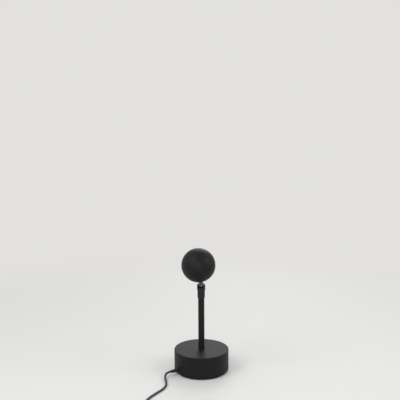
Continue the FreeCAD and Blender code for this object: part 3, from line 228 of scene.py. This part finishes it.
add(tie_tape, "ShaderNodeOutputMaterial", {"Surface": shader.outputs[0]})

tie_width = 0.009
tie_corner = 0.0026
tape_thickness = 0.0005
tail_length = 0.0125
tail_thickness = 0.0009
tail_narrower = 0.0006
tail_edge = 0.0003
tail_along = 0.0095
tail_raised = 0.0003
tie_low, tie_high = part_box("cord_tie")
tie_form = bmesh.new()
tie_corners = [tie_form.verts.new((tie_low.x, y, z)) for y, z in (
    (tie_low.y, tie_low.z), (tie_high.y, tie_low.z), (tie_high.y, tie_high.z), (tie_low.y, tie_high.z))]
for corner, following in zip(tie_corners, tie_corners[1:] + tie_corners[:1]):
    tie_form.edges.new((corner, following))
bmesh.ops.bevel(tie_form, geom=tie_corners, offset=tie_corner, segments=8, profile=0.5,
                affect="VERTICES", material=-1)
spun = bmesh.ops.extrude_edge_only(tie_form, edges=tie_form.edges[:])
edge_verts = [item for item in spun["geom"] if isinstance(item, bmesh.types.BMVert)]
bmesh.ops.translate(tie_form, verts=edge_verts, vec=(tie_width, 0, 0))
bmesh.ops.recalc_face_normals(tie_form, faces=tie_form.faces[:])
bmesh.ops.solidify(tie_form, geom=tie_form.faces[:], thickness=tape_thickness)
tail = bmesh.ops.create_cube(tie_form, size=1.0)["verts"]
tail_place = ((tie_low.x + tie_high.x) / 2, tie_low.y + tail_along, tie_high.z + tail_raised)
bmesh.ops.scale(tie_form, verts=tail, vec=(tie_width - tail_narrower, tail_length, tail_thickness))
bmesh.ops.translate(tie_form, verts=tail, vec=tail_place)
tail_edges = [edge for edge in tie_form.edges if all(vert in tail for vert in edge.verts)]
bmesh.ops.bevel(tie_form, geom=tail_edges, offset=tail_edge, segments=2, profile=0.5,
                affect="EDGES", material=-1)
cord_tie = new_piece("coil_tie", tie_form, tie_tape)
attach(cord_tie, "stand")
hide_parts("cord_tie")


# In-line switch: two moulded ABS half shells closed by two screws from below, with a round
# push button in the lid, over a small board with a tact switch.
def dress(material, *nodes):
    for name in nodes:
        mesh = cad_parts[name].data
        mesh.materials.clear()
        mesh.materials.append(material)


# Spark-eroded ABS: a dull, finely pitted skin; the pits are 0.15 mm, drawn 0.35 mm wide.
black_abs = start_material("black ABS, spark-eroded mould")
place = add(black_abs, "ShaderNodeTexCoord").outputs["Object"]
pits = add(black_abs, "ShaderNodeTexNoise",
           {"Vector": place, "Scale": 1 / (0.35 * mm), "Detail": 2.0})
cloud = add(black_abs, "ShaderNodeTexNoise",
            {"Vector": place, "Scale": 1 / (6 * mm), "Detail": 2.0})
tone = add(black_abs, "ShaderNodeMix",
           {"Factor": cloud.outputs["Fac"], "A": colour("#161617"), "B": colour("#1e1e1f")},
           data_type="RGBA")
gloss = add(black_abs, "ShaderNodeMapRange",
            {"Value": pits.outputs["Fac"], "To Min": 0.46, "To Max": 0.62})
relief = add(black_abs, "ShaderNodeBump",
             {"Strength": 0.4, "Distance": 0.05 * mm, "Height": pits.outputs["Fac"]})
shader = add(black_abs, "ShaderNodeBsdfPrincipled",
             {"Base Color": tone.outputs["Result"], "Roughness": gloss.outputs["Result"],
              "Normal": relief.outputs["Normal"]})
add(black_abs, "ShaderNodeOutputMaterial", {"Surface": shader.outputs[0]})
dress(black_abs, "switch_lower", "switch_upper", "plug_body")

# Polished ABS: the button's mould is smooth, so it is glossier, rubbed duller in spots of 2 mm.
button_abs = start_material("black ABS, polished mould")
place = add(button_abs, "ShaderNodeTexCoord").outputs["Object"]
wear = add(button_abs, "ShaderNodeTexNoise",
           {"Vector": place, "Scale": 1 / (2 * mm), "Detail": 4.0})
gloss = add(button_abs, "ShaderNodeMapRange",
            {"Value": wear.outputs["Fac"], "To Min": 0.16, "To Max": 0.34})
tone = add(button_abs, "ShaderNodeMix",
           {"Factor": wear.outputs["Fac"], "A": colour("#1c1c1d"), "B": colour("#262628")},
           data_type="RGBA")
shader = add(button_abs, "ShaderNodeBsdfPrincipled",
             {"Base Color": tone.outputs["Result"], "Roughness": gloss.outputs["Result"]})
add(button_abs, "ShaderNodeOutputMaterial", {"Surface": shader.outputs[0]})
dress(button_abs, "switch_button")

# Glass-epoxy board: a green lacquer, paler in lines 1 mm apart, and a ripple of 2 mm.
circuit_board = start_material("green solder lacquer on glass epoxy")
place = add(circuit_board, "ShaderNodeTexCoord").outputs["Object"]
tracks = add(circuit_board, "ShaderNodeTexBrick",
             {"Vector": place, "Scale": 1 / (4 * mm), "Mortar Size": 0.06,
              "Color1": colour("#1f6b3c"), "Color2": colour("#1b6136"),
              "Mortar": colour("#3d8f56")})
flow = add(circuit_board, "ShaderNodeTexNoise", {"Vector": place, "Scale": 1 / (2 * mm)})
gloss = add(circuit_board, "ShaderNodeMapRange",
            {"Value": flow.outputs["Fac"], "To Min": 0.22, "To Max": 0.4})
shader = add(circuit_board, "ShaderNodeBsdfPrincipled",
             {"Base Color": tracks.outputs["Color"], "Roughness": gloss.outputs["Result"],
              "Coat Weight": 0.4})
add(circuit_board, "ShaderNodeOutputMaterial", {"Surface": shader.outputs[0]})
dress(circuit_board, "switch_board", "driver_board")

# Zinc-plated steel: a bright grey skin with a soft cloudy bloom of 1.5 mm.
zinc_steel = start_material("steel, zinc-plated")
place = add(zinc_steel, "ShaderNodeTexCoord").outputs["Object"]
bloom = add(zinc_steel, "ShaderNodeTexNoise",
            {"Vector": place, "Scale": 1 / (1.5 * mm), "Detail": 3.0})
tone = add(zinc_steel, "ShaderNodeMix",
           {"Factor": bloom.outputs["Fac"], "A": colour("#b9bbbd"), "B": colour("#d2d3d3")},
           data_type="RGBA")
gloss = add(zinc_steel, "ShaderNodeMapRange",
            {"Value": bloom.outputs["Fac"], "To Min": 0.24, "To Max": 0.42})
shader = add(zinc_steel, "ShaderNodeBsdfPrincipled",
             {"Base Color": tone.outputs["Result"], "Metallic": 1.0,
              "Roughness": gloss.outputs["Result"]})
add(zinc_steel, "ShaderNodeOutputMaterial", {"Surface": shader.outputs[0]})
dress(zinc_steel, "switch_screws", "driver_board_screws", "led_board_screws", "bottom_plate_screws",
      "stem_washer", "neck_washer", "disc_spring")


# Plug: a moulded grip round a folded shell of nickel-plated steel, with a white tongue that
# carries four gilt contacts, pressed in side by side.

# Bright nickel plate: a warm mirror with faint drawing lines 0.3 mm apart and 5 mm long.
bright_nickel = start_material("bright nickel plate on folded steel")
place = add(bright_nickel, "ShaderNodeTexCoord").outputs["Object"]
stretch = add(bright_nickel, "ShaderNodeMapping", {"Vector": place, "Scale": (0.06, 1.0, 1.0)})
lines = add(bright_nickel, "ShaderNodeTexNoise",
            {"Vector": stretch.outputs["Vector"], "Scale": 1 / (0.3 * mm), "Detail": 3.0})
tone = add(bright_nickel, "ShaderNodeMix",
           {"Factor": lines.outputs["Fac"], "A": colour("#c6c2ba"), "B": colour("#dcd8d0")},
           data_type="RGBA")
gloss = add(bright_nickel, "ShaderNodeMapRange",
            {"Value": lines.outputs["Fac"], "To Min": 0.12, "To Max": 0.28})
shader = add(bright_nickel, "ShaderNodeBsdfPrincipled",
             {"Base Color": tone.outputs["Result"], "Metallic": 1.0,
              "Roughness": gloss.outputs["Result"]})
add(bright_nickel, "ShaderNodeOutputMaterial", {"Surface": shader.outputs[0]})
dress(bright_nickel, "plug_shell", "stem_nut", "neck_nut")

# Glass-filled polyester: a slightly warm white, satin, with a fleck of fibre every 0.5 mm.
white_polyester = start_material("white polyester, moulded")
place = add(white_polyester, "ShaderNodeTexCoord").outputs["Object"]
fleck = add(white_polyester, "ShaderNodeTexNoise", {"Vector": place, "Scale": 1 / (0.5 * mm)})
tone = add(white_polyester, "ShaderNodeMix",
           {"Factor": fleck.outputs["Fac"], "A": colour("#e4e2db"), "B": colour("#f1f0ea")},
           data_type="RGBA")
shader = add(white_polyester, "ShaderNodeBsdfPrincipled",
             {"Base Color": tone.outputs["Result"], "Roughness": 0.4})
add(white_polyester, "ShaderNodeOutputMaterial", {"Surface": shader.outputs[0]})
dress(white_polyester, "plug_tongue")

# Flash gilding over nickel: warm and smooth, rubbed in spots of 0.6 mm.
gilt = start_material("gilt copper alloy")
place = add(gilt, "ShaderNodeTexCoord").outputs["Object"]
rub = add(gilt, "ShaderNodeTexNoise", {"Vector": place, "Scale": 1 / (0.6 * mm), "Detail": 3.0})
tone = add(gilt, "ShaderNodeMix",
           {"Factor": rub.outputs["Fac"], "A": colour("#d8a94a"), "B": colour("#e6c271")},
           data_type="RGBA")
gloss = add(gilt, "ShaderNodeMapRange",
            {"Value": rub.outputs["Fac"], "To Min": 0.18, "To Max": 0.34})
shader = add(gilt, "ShaderNodeBsdfPrincipled",
             {"Base Color": tone.outputs["Result"], "Metallic": 1.0,
              "Roughness": gloss.outputs["Result"]})
add(gilt, "ShaderNodeOutputMaterial", {"Surface": shader.outputs[0]})

outer_contact = 0.0092
inner_contact = 0.0082
outer_offset = 0.0035
inner_offset = 0.0010
contact_width = 0.0010
contact_thickness = 0.0003
contact_edge = 0.00008
contact_set_back = 0.0012
contact_raised = 0.00005
tongue_low, tongue_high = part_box("plug_tongue")
tongue_middle = (tongue_low.y + tongue_high.y) / 2
contact_form = bmesh.new()
for offset, length in ((-outer_offset, outer_contact), (-inner_offset, inner_contact),
                       (inner_offset, inner_contact), (outer_offset, outer_contact)):
    contact_place = (tongue_low.x + contact_set_back + length / 2, tongue_middle + offset,
                     tongue_high.z + contact_raised)
    strip = bmesh.ops.create_cube(contact_form, size=1.0)["verts"]
    bmesh.ops.scale(contact_form, verts=strip, vec=(length, contact_width, contact_thickness))
    bmesh.ops.translate(contact_form, verts=strip, vec=contact_place)
bmesh.ops.bevel(contact_form, geom=contact_form.edges[:], offset=contact_edge, segments=2, profile=0.5,
                affect="EDGES", material=-1)
plug_contacts = new_piece("plug_contacts", contact_form, gilt)
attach(plug_contacts, "stand")


# Strain relief: a ribbed, tapering sleeve of soft rubber moulded on the lead, and gripped
# by the hole in the drum's wall.

# Moulded rubber: dark grey-black and dull, with a fine dusty grain of 0.5 mm.
black_rubber = start_material("black rubber, moulded")
place = add(black_rubber, "ShaderNodeTexCoord").outputs["Object"]
grain = add(black_rubber, "ShaderNodeTexNoise",
            {"Vector": place, "Scale": 1 / (0.5 * mm), "Detail": 3.0})
cloud = add(black_rubber, "ShaderNodeTexNoise", {"Vector": place, "Scale": 1 / (8 * mm)})
tone = add(black_rubber, "ShaderNodeMix",
           {"Factor": cloud.outputs["Fac"], "A": colour("#171717"), "B": colour("#222221")},
           data_type="RGBA")
gloss = add(black_rubber, "ShaderNodeMapRange",
            {"Value": grain.outputs["Fac"], "To Min": 0.58, "To Max": 0.8})
relief = add(black_rubber, "ShaderNodeBump",
             {"Strength": 0.4, "Distance": 0.06 * mm, "Height": grain.outputs["Fac"]})
shader = add(black_rubber, "ShaderNodeBsdfPrincipled",
             {"Base Color": tone.outputs["Result"], "Roughness": gloss.outputs["Result"],
              "Normal": relief.outputs["Normal"]})
add(black_rubber, "ShaderNodeOutputMaterial", {"Surface": shader.outputs[0]})
dress(black_rubber, "strain_relief", "foot_pad", "lens_gasket")


# Drum, stem and head shells: the drum and shells are cast in zinc alloy, the stem is a steel
# tube, and all of them are powder-coated satin black.

# Baked powder coat: a faint orange peel of 1 mm over a finer grain, drawn 0.35 mm wide.
satin_paint = start_material("satin black powder coat, baked")
place = add(satin_paint, "ShaderNodeTexCoord").outputs["Object"]
peel = add(satin_paint, "ShaderNodeTexNoise",
           {"Vector": place, "Scale": 1 / (1 * mm), "Detail": 1.0})
grain = add(satin_paint, "ShaderNodeTexNoise",
            {"Vector": place, "Scale": 1 / (0.35 * mm), "Detail": 2.0})
skin = add(satin_paint, "ShaderNodeMath",
           {0: peel.outputs["Fac"], 1: grain.outputs["Fac"]}, operation="ADD")
cloud = add(satin_paint, "ShaderNodeTexNoise",
            {"Vector": place, "Scale": 1 / (20 * mm), "Detail": 4.0})
tone = add(satin_paint, "ShaderNodeMix",
           {"Factor": cloud.outputs["Fac"], "A": colour("#0e0e0e"), "B": colour("#131312")},
           data_type="RGBA")
gloss = add(satin_paint, "ShaderNodeMapRange",
            {"Value": cloud.outputs["Fac"], "To Min": 0.46, "To Max": 0.58})
relief = add(satin_paint, "ShaderNodeBump",
             {"Strength": 0.35, "Distance": 0.04 * mm, "Height": skin.outputs[0]})
shader = add(satin_paint, "ShaderNodeBsdfPrincipled",
             {"Base Color": tone.outputs["Result"], "Roughness": gloss.outputs["Result"],
              "Specular IOR Level": 0.2, "Normal": relief.outputs["Normal"]})
add(satin_paint, "ShaderNodeOutputMaterial", {"Surface": shader.outputs[0]})
dress(satin_paint, "base_shell", "stem", "rear_shell", "front_shell")


# Inside the drum: a stamped steel plate closes it, a cast-iron ring weighs it down, and the
# small supply board stands on two posts of the ring.

# Rolled steel: grey, with faint rolling lines that run one way, 0.4 mm apart and 10 mm long.
rolled_steel = start_material("steel sheet, rolled")
place = add(rolled_steel, "ShaderNodeTexCoord").outputs["Object"]
stretch = add(rolled_steel, "ShaderNodeMapping", {"Vector": place, "Scale": (0.04, 1.0, 1.0)})
lines = add(rolled_steel, "ShaderNodeTexNoise",
            {"Vector": stretch.outputs["Vector"], "Scale": 1 / (0.4 * mm), "Detail": 3.0})
tone = add(rolled_steel, "ShaderNodeMix",
           {"Factor": lines.outputs["Fac"], "A": colour("#9a9b9c"), "B": colour("#b5b6b6")},
           data_type="RGBA")
gloss = add(rolled_steel, "ShaderNodeMapRange",
            {"Value": lines.outputs["Fac"], "To Min": 0.32, "To Max": 0.5})
shader = add(rolled_steel, "ShaderNodeBsdfPrincipled",
             {"Base Color": tone.outputs["Result"], "Metallic": 1.0,
              "Roughness": gloss.outputs["Result"]})
add(rolled_steel, "ShaderNodeOutputMaterial", {"Surface": shader.outputs[0]})
dress(rolled_steel, "bottom_plate")

# Sand-cast iron: dark and rough, the sand's grains about 0.8 mm.
cast_iron = start_material("grey iron, sand-cast")
place = add(cast_iron, "ShaderNodeTexCoord").outputs["Object"]
sand = add(cast_iron, "ShaderNodeTexNoise",
           {"Vector": place, "Scale": 1 / (0.8 * mm), "Detail": 5.0})
tone = add(cast_iron, "ShaderNodeMix",
           {"Factor": sand.outputs["Fac"], "A": colour("#4a4a4b"), "B": colour("#68676a")},
           data_type="RGBA")
relief = add(cast_iron, "ShaderNodeBump",
             {"Strength": 0.7, "Distance": 0.2 * mm, "Height": sand.outputs["Fac"]})
shader = add(cast_iron, "ShaderNodeBsdfPrincipled",
             {"Base Color": tone.outputs["Result"], "Metallic": 0.7, "Roughness": 0.72,
              "Normal": relief.outputs["Normal"]})
add(cast_iron, "ShaderNodeOutputMaterial", {"Surface": shader.outputs[0]})
dress(cast_iron, "base_weight")

# Soft insulation: red, satin, extruded over the strands.
wire_jacket = start_material("red PVC insulation, extruded")
place = add(wire_jacket, "ShaderNodeTexCoord").outputs["Object"]
drift = add(wire_jacket, "ShaderNodeTexNoise", {"Vector": place, "Scale": 1 / (2 * mm)})
tone = add(wire_jacket, "ShaderNodeMix",
           {"Factor": drift.outputs["Fac"], "A": colour("#a51f1b"), "B": colour("#bb2c26")},
           data_type="RGBA")
shader = add(wire_jacket, "ShaderNodeBsdfPrincipled",
             {"Base Color": tone.outputs["Result"], "Roughness": 0.42})
add(wire_jacket, "ShaderNodeOutputMaterial", {"Surface": shader.outputs[0]})
dress(wire_jacket, "stem_leads", "head_leads")
dress(cord_jacket, "inner_lead")


# Cup, collar, ball and lens bezel: turned brass with a dark nickel plate over a polish, so
# they shine more than the painted drum and head. The collar screws down over the ball.

# Dark nickel plate: a deep smoky mirror with very fine turning rings round the upright axis,
# drawn 0.3 mm apart in arcs of 6 mm.
dark_nickel = start_material("dark nickel plate, polished")
place = add(dark_nickel, "ShaderNodeTexCoord").outputs["Object"]
stretch = add(dark_nickel, "ShaderNodeMapping", {"Vector": place, "Scale": (0.05, 0.05, 1.0)})
rings = add(dark_nickel, "ShaderNodeTexNoise",
            {"Vector": stretch.outputs["Vector"], "Scale": 1 / (0.3 * mm), "Detail": 2.0})
cloud = add(dark_nickel, "ShaderNodeTexNoise",
            {"Vector": place, "Scale": 1 / (10 * mm), "Detail": 3.0})
tone = add(dark_nickel, "ShaderNodeMix",
           {"Factor": cloud.outputs["Fac"], "A": colour("#2c2b2b"), "B": colour("#3a3939")},
           data_type="RGBA")
gloss = add(dark_nickel, "ShaderNodeMapRange",
            {"Value": rings.outputs["Fac"], "To Min": 0.16, "To Max": 0.3})
relief = add(dark_nickel, "ShaderNodeBump",
             {"Strength": 0.12, "Distance": 0.02 * mm, "Height": rings.outputs["Fac"]})
shader = add(dark_nickel, "ShaderNodeBsdfPrincipled",
             {"Base Color": tone.outputs["Result"], "Metallic": 1.0,
              "Roughness": gloss.outputs["Result"], "Normal": relief.outputs["Normal"]})
add(dark_nickel, "ShaderNodeOutputMaterial", {"Surface": shader.outputs[0]})
dress(dark_nickel, "joint_cup", "joint_collar", "lens_bezel")

# Ground and polished dark nickel: the ball has to slide in its cup, so it and its neck are
# smoother than the rest and catch the light; rubbed marks of 0.2 mm, drawn 0.4 mm wide.
ball_nickel = start_material("dark nickel plate, ground and polished")
place = add(ball_nickel, "ShaderNodeTexCoord").outputs["Object"]
rub = add(ball_nickel, "ShaderNodeTexNoise",
          {"Vector": place, "Scale": 1 / (0.4 * mm), "Detail": 2.0})
cloud = add(ball_nickel, "ShaderNodeTexNoise",
            {"Vector": place, "Scale": 1 / (4 * mm), "Detail": 3.0})
tone = add(ball_nickel, "ShaderNodeMix",
           {"Factor": cloud.outputs["Fac"], "A": colour("#4a4847"), "B": colour("#5c5a58")},
           data_type="RGBA")
gloss = add(ball_nickel, "ShaderNodeMapRange",
            {"Value": rub.outputs["Fac"], "To Min": 0.07, "To Max": 0.16})
shader = add(ball_nickel, "ShaderNodeBsdfPrincipled",
             {"Base Color": tone.outputs["Result"], "Metallic": 1.0,
              "Roughness": gloss.outputs["Result"]})
add(ball_nickel, "ShaderNodeOutputMaterial", {"Surface": shader.outputs[0]})
dress(ball_nickel, "ball_stud")

# Turned brass: warm, satin, with rings round the upright axis, 0.4 mm apart in arcs of 8 mm.
turned_brass = start_material("brass, turned")
place = add(turned_brass, "ShaderNodeTexCoord").outputs["Object"]
stretch = add(turned_brass, "ShaderNodeMapping", {"Vector": place, "Scale": (0.05, 0.05, 1.0)})
rings = add(turned_brass, "ShaderNodeTexNoise",
            {"Vector": stretch.outputs["Vector"], "Scale": 1 / (0.4 * mm)})
tone = add(turned_brass, "ShaderNodeMix",
           {"Factor": rings.outputs["Fac"], "A": colour("#c39a52"), "B": colour("#d8b26a")},
           data_type="RGBA")
gloss = add(turned_brass, "ShaderNodeMapRange",
            {"Value": rings.outputs["Fac"], "To Min": 0.22, "To Max": 0.4})
shader = add(turned_brass, "ShaderNodeBsdfPrincipled",
             {"Base Color": tone.outputs["Result"], "Metallic": 1.0,
              "Roughness": gloss.outputs["Result"]})
add(turned_brass, "ShaderNodeOutputMaterial", {"Surface": shader.outputs[0]})
dress(turned_brass, "swivel_bushing")

# Natural nylon: milky and waxy, slightly see-through at its edges.
nylon = start_material("natural nylon, turned")
place = add(nylon, "ShaderNodeTexCoord").outputs["Object"]
haze = add(nylon, "ShaderNodeTexNoise", {"Vector": place, "Scale": 1 / (2 * mm), "Detail": 3.0})
tone = add(nylon, "ShaderNodeMix",
           {"Factor": haze.outputs["Fac"], "A": colour("#ddd9cc"), "B": colour("#ece9de")},
           data_type="RGBA")
shader = add(nylon, "ShaderNodeBsdfPrincipled",
             {"Base Color": tone.outputs["Result"], "Roughness": 0.38, "Subsurface Weight": 0.15,
              "Subsurface Radius": (2 * mm, 1.8 * mm, 1.4 * mm)})
add(nylon, "ShaderNodeOutputMaterial", {"Surface": shader.outputs[0]})
dress(nylon, "friction_pad")


# Head's inside: a sawn aluminium heat sink carries a round white board with the emitter, and
# a black sleeve over it holds the condenser lens.

# Bare aluminium: pale and soft, with saw and turning lines 0.5 mm apart and 5 mm long.
bare_aluminium = start_material("aluminium, turned and sawn")
place = add(bare_aluminium, "ShaderNodeTexCoord").outputs["Object"]
stretch = add(bare_aluminium, "ShaderNodeMapping", {"Vector": place, "Scale": (1.0, 0.1, 0.1)})
lines = add(bare_aluminium, "ShaderNodeTexNoise",
            {"Vector": stretch.outputs["Vector"], "Scale": 1 / (0.5 * mm), "Detail": 2.0})
tone = add(bare_aluminium, "ShaderNodeMix",
           {"Factor": lines.outputs["Fac"], "A": colour("#c3c5c7"), "B": colour("#dadbdc")},
           data_type="RGBA")
gloss = add(bare_aluminium, "ShaderNodeMapRange",
            {"Value": lines.outputs["Fac"], "To Min": 0.3, "To Max": 0.5})
shader = add(bare_aluminium, "ShaderNodeBsdfPrincipled",
             {"Base Color": tone.outputs["Result"], "Metallic": 1.0,
              "Roughness": gloss.outputs["Result"]})
add(bare_aluminium, "ShaderNodeOutputMaterial", {"Surface": shader.outputs[0]})
dress(bare_aluminium, "heat_sink")

# White lacquer: bright, smooth, with a slight ripple of 1.5 mm.
white_lacquer = start_material("white solder lacquer on aluminium")
place = add(white_lacquer, "ShaderNodeTexCoord").outputs["Object"]
ripple = add(white_lacquer, "ShaderNodeTexNoise", {"Vector": place, "Scale": 1 / (1.5 * mm)})
tone = add(white_lacquer, "ShaderNodeMix",
           {"Factor": ripple.outputs["Fac"], "A": colour("#e6e6e2"), "B": colour("#f2f2ef")},
           data_type="RGBA")
shader = add(white_lacquer, "ShaderNodeBsdfPrincipled",
             {"Base Color": tone.outputs["Result"], "Roughness": 0.28})
add(white_lacquer, "ShaderNodeOutputMaterial", {"Surface": shader.outputs[0]})
dress(white_lacquer, "led_board")

# Phosphor in silicone: an egg-yolk yellow round window, set in white ceramic.
window_radius = 0.00285
emitter_low, emitter_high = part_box("led_emitter")
phosphor = start_material("phosphor window in white ceramic")
place = add(phosphor, "ShaderNodeTexCoord").outputs["Object"]
reach = add(phosphor, "ShaderNodeVectorMath",
            {0: place, 1: (emitter_low + emitter_high) / 2}, operation="DISTANCE")
window = add(phosphor, "ShaderNodeMath",
             {0: reach.outputs["Value"], 1: window_radius}, operation="LESS_THAN")
grit = add(phosphor, "ShaderNodeTexNoise", {"Vector": place, "Scale": 1 / (0.4 * mm)})
yolk = add(phosphor, "ShaderNodeMix",
           {"Factor": grit.outputs["Fac"], "A": colour("#e3b02c"), "B": colour("#efc549")},
           data_type="RGBA")
tone = add(phosphor, "ShaderNodeMix",
           {"Factor": window.outputs[0], "A": colour("#ecebe6"), "B": yolk.outputs["Result"]},
           data_type="RGBA")
shader = add(phosphor, "ShaderNodeBsdfPrincipled",
             {"Base Color": tone.outputs["Result"], "Roughness": 0.35})
add(phosphor, "ShaderNodeOutputMaterial", {"Surface": shader.outputs[0]})
dress(phosphor, "led_emitter")

# Glass-filled nylon: matte black, so that it throws no stray light.
barrel_nylon = start_material("matte black nylon, moulded")
place = add(barrel_nylon, "ShaderNodeTexCoord").outputs["Object"]
grain = add(barrel_nylon, "ShaderNodeTexNoise",
            {"Vector": place, "Scale": 1 / (0.4 * mm), "Detail": 3.0})
tone = add(barrel_nylon, "ShaderNodeMix",
           {"Factor": grain.outputs["Fac"], "A": colour("#141414"), "B": colour("#1f1f1f")},
           data_type="RGBA")
shader = add(barrel_nylon, "ShaderNodeBsdfPrincipled",
             {"Base Color": tone.outputs["Result"], "Roughness": 0.75})
add(barrel_nylon, "ShaderNodeOutputMaterial", {"Surface": shader.outputs[0]})
dress(barrel_nylon, "lens_barrel")


# Optics: the condenser and the front lens are ground glass, polished clear. The colour filter
# between them is flat glass with an interference coating, violet in its middle and yellow
# towards its edge.

# Polished glass: clear, with a haze of 4 mm that is barely there.
polished_glass = start_material("clear glass, polished")
place = add(polished_glass, "ShaderNodeTexCoord").outputs["Object"]
haze = add(polished_glass, "ShaderNodeTexNoise", {"Vector": place, "Scale": 1 / (4 * mm)})
gloss = add(polished_glass, "ShaderNodeMapRange",
            {"Value": haze.outputs["Fac"], "To Min": 0.0, "To Max": 0.03})
shader = add(polished_glass, "ShaderNodeBsdfPrincipled",
             {"Base Color": colour("#f7fbfb"), "Roughness": gloss.outputs["Result"], "IOR": 1.52,
              "Transmission Weight": 1.0})
add(polished_glass, "ShaderNodeOutputMaterial", {"Surface": shader.outputs[0]})
dress(polished_glass, "condenser_lens", "front_lens")

# Interference coating: the tint follows the distance from the filter's middle.
filter_radius = 0.0192
filter_low, filter_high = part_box("colour_filter")
sunset_glass = start_material("interference-coated glass")
place = add(sunset_glass, "ShaderNodeTexCoord").outputs["Object"]
reach = add(sunset_glass, "ShaderNodeVectorMath",
            {0: place, 1: (filter_low + filter_high) / 2}, operation="DISTANCE")
share = add(sunset_glass, "ShaderNodeMapRange",
            {"Value": reach.outputs["Value"], "From Max": filter_radius})
band = add(sunset_glass, "ShaderNodeValToRGB", {"Fac": share.outputs["Result"]})
band.color_ramp.elements[0].color = colour("#d77fe8")
band.color_ramp.elements[1].color = colour("#f0e43a")
for share_out, tint in ((0.35, "#e79adf"), (0.62, "#f3a640")):
    band.color_ramp.elements.new(share_out).color = colour(tint)
shader = add(sunset_glass, "ShaderNodeBsdfPrincipled",
             {"Base Color": band.outputs["Color"], "Roughness": 0.04, "IOR": 1.52,
              "Transmission Weight": 0.55, "Coat Weight": 0.6})
add(sunset_glass, "ShaderNodeOutputMaterial", {"Surface": shader.outputs[0]})
dress(sunset_glass, "colour_filter")


# Floor: a plain pale sheet that fades into the pale surroundings about a metre out, so that
# only the lamp's own shadow shows on it.
floor_radius = 2.0
floor_drop = 0.0001
fade_start = 0.24
fade_end = 1.2
pale_floor = start_material("plain pale floor")
place = add(pale_floor, "ShaderNodeTexCoord").outputs["Object"]
reach = add(pale_floor, "ShaderNodeVectorMath", {0: place}, operation="LENGTH")
fade = add(pale_floor, "ShaderNodeMapRange",
           {"Value": reach.outputs["Value"], "From Min": fade_start, "From Max": fade_end},
           interpolation_type="SMOOTHSTEP")
sheet = add(pale_floor, "ShaderNodeBsdfPrincipled",
            {"Base Color": colour("#e2e1df"), "Roughness": 0.7, "Specular IOR Level": 0.2})
clear = add(pale_floor, "ShaderNodeBsdfTransparent")
blend = add(pale_floor, "ShaderNodeMixShader",
            {0: fade.outputs["Result"], 1: sheet.outputs[0], 2: clear.outputs[0]})
add(pale_floor, "ShaderNodeOutputMaterial", {"Surface": blend.outputs[0]})
floor_form = bmesh.new()
bmesh.ops.create_circle(floor_form, cap_ends=True, segments=96, radius=floor_radius)
bmesh.ops.translate(floor_form, verts=floor_form.verts[:], vec=(0, 0, -floor_drop))
floor = new_piece("floor", floor_form, pale_floor)


# Light: three wide softboxes, a small one that puts a glint on polished metal, and a soft
# sky, which also shows as a pale backdrop.
aimed_at = Vector((0, 0, 0.1))
sky = bpy.data.worlds.new("soft sky")
bpy.context.scene.world = sky
sky.use_nodes = True
sky.node_tree.nodes.clear()
ray = add(sky, "ShaderNodeLightPath")
mirrored = add(sky, "ShaderNodeMath",
               {0: ray.outputs["Is Camera Ray"], 1: ray.outputs["Is Glossy Ray"]},
               operation="ADD", use_clamp=True)
seen = add(sky, "ShaderNodeMath",
           {0: mirrored.outputs[0], 1: ray.outputs["Is Transmission Ray"]},
           operation="ADD", use_clamp=True)
soft = add(sky, "ShaderNodeBackground", {"Color": colour("#eceef0"), "Strength": 0.62})
backdrop = add(sky, "ShaderNodeBackground", {"Color": colour("#e2e1df"), "Strength": 1.0})
either = add(sky, "ShaderNodeMixShader",
             {0: seen.outputs[0], 1: soft.outputs[0], 2: backdrop.outputs[0]})
add(sky, "ShaderNodeOutputWorld", {"Surface": either.outputs[0]})
for name, position, size, power in (
    ("softbox_left", (-0.9, -0.7, 1.1), 0.9, 8.6),
    ("softbox_right", (1.0, -0.3, 0.8), 0.7, 3.8),
    ("softbox_back", (0.2, 1.1, 0.9), 0.8, 4.9),
    ("softbox_small", (-0.04, -1.0, 0.34), 0.1, 2.0),
):
    lamp_data = bpy.data.lights.new(name, "AREA")
    lamp_data.shape = "SQUARE"
    lamp_data.size = size
    lamp_data.energy = power
    lamp = bpy.data.objects.new(name, lamp_data)
    lamp.visible_camera = False
    bpy.context.scene.collection.objects.link(lamp)
    lamp.location = position
    lamp.rotation_euler = (aimed_at - Vector(position)).to_track_quat("-Z", "Y").to_euler()
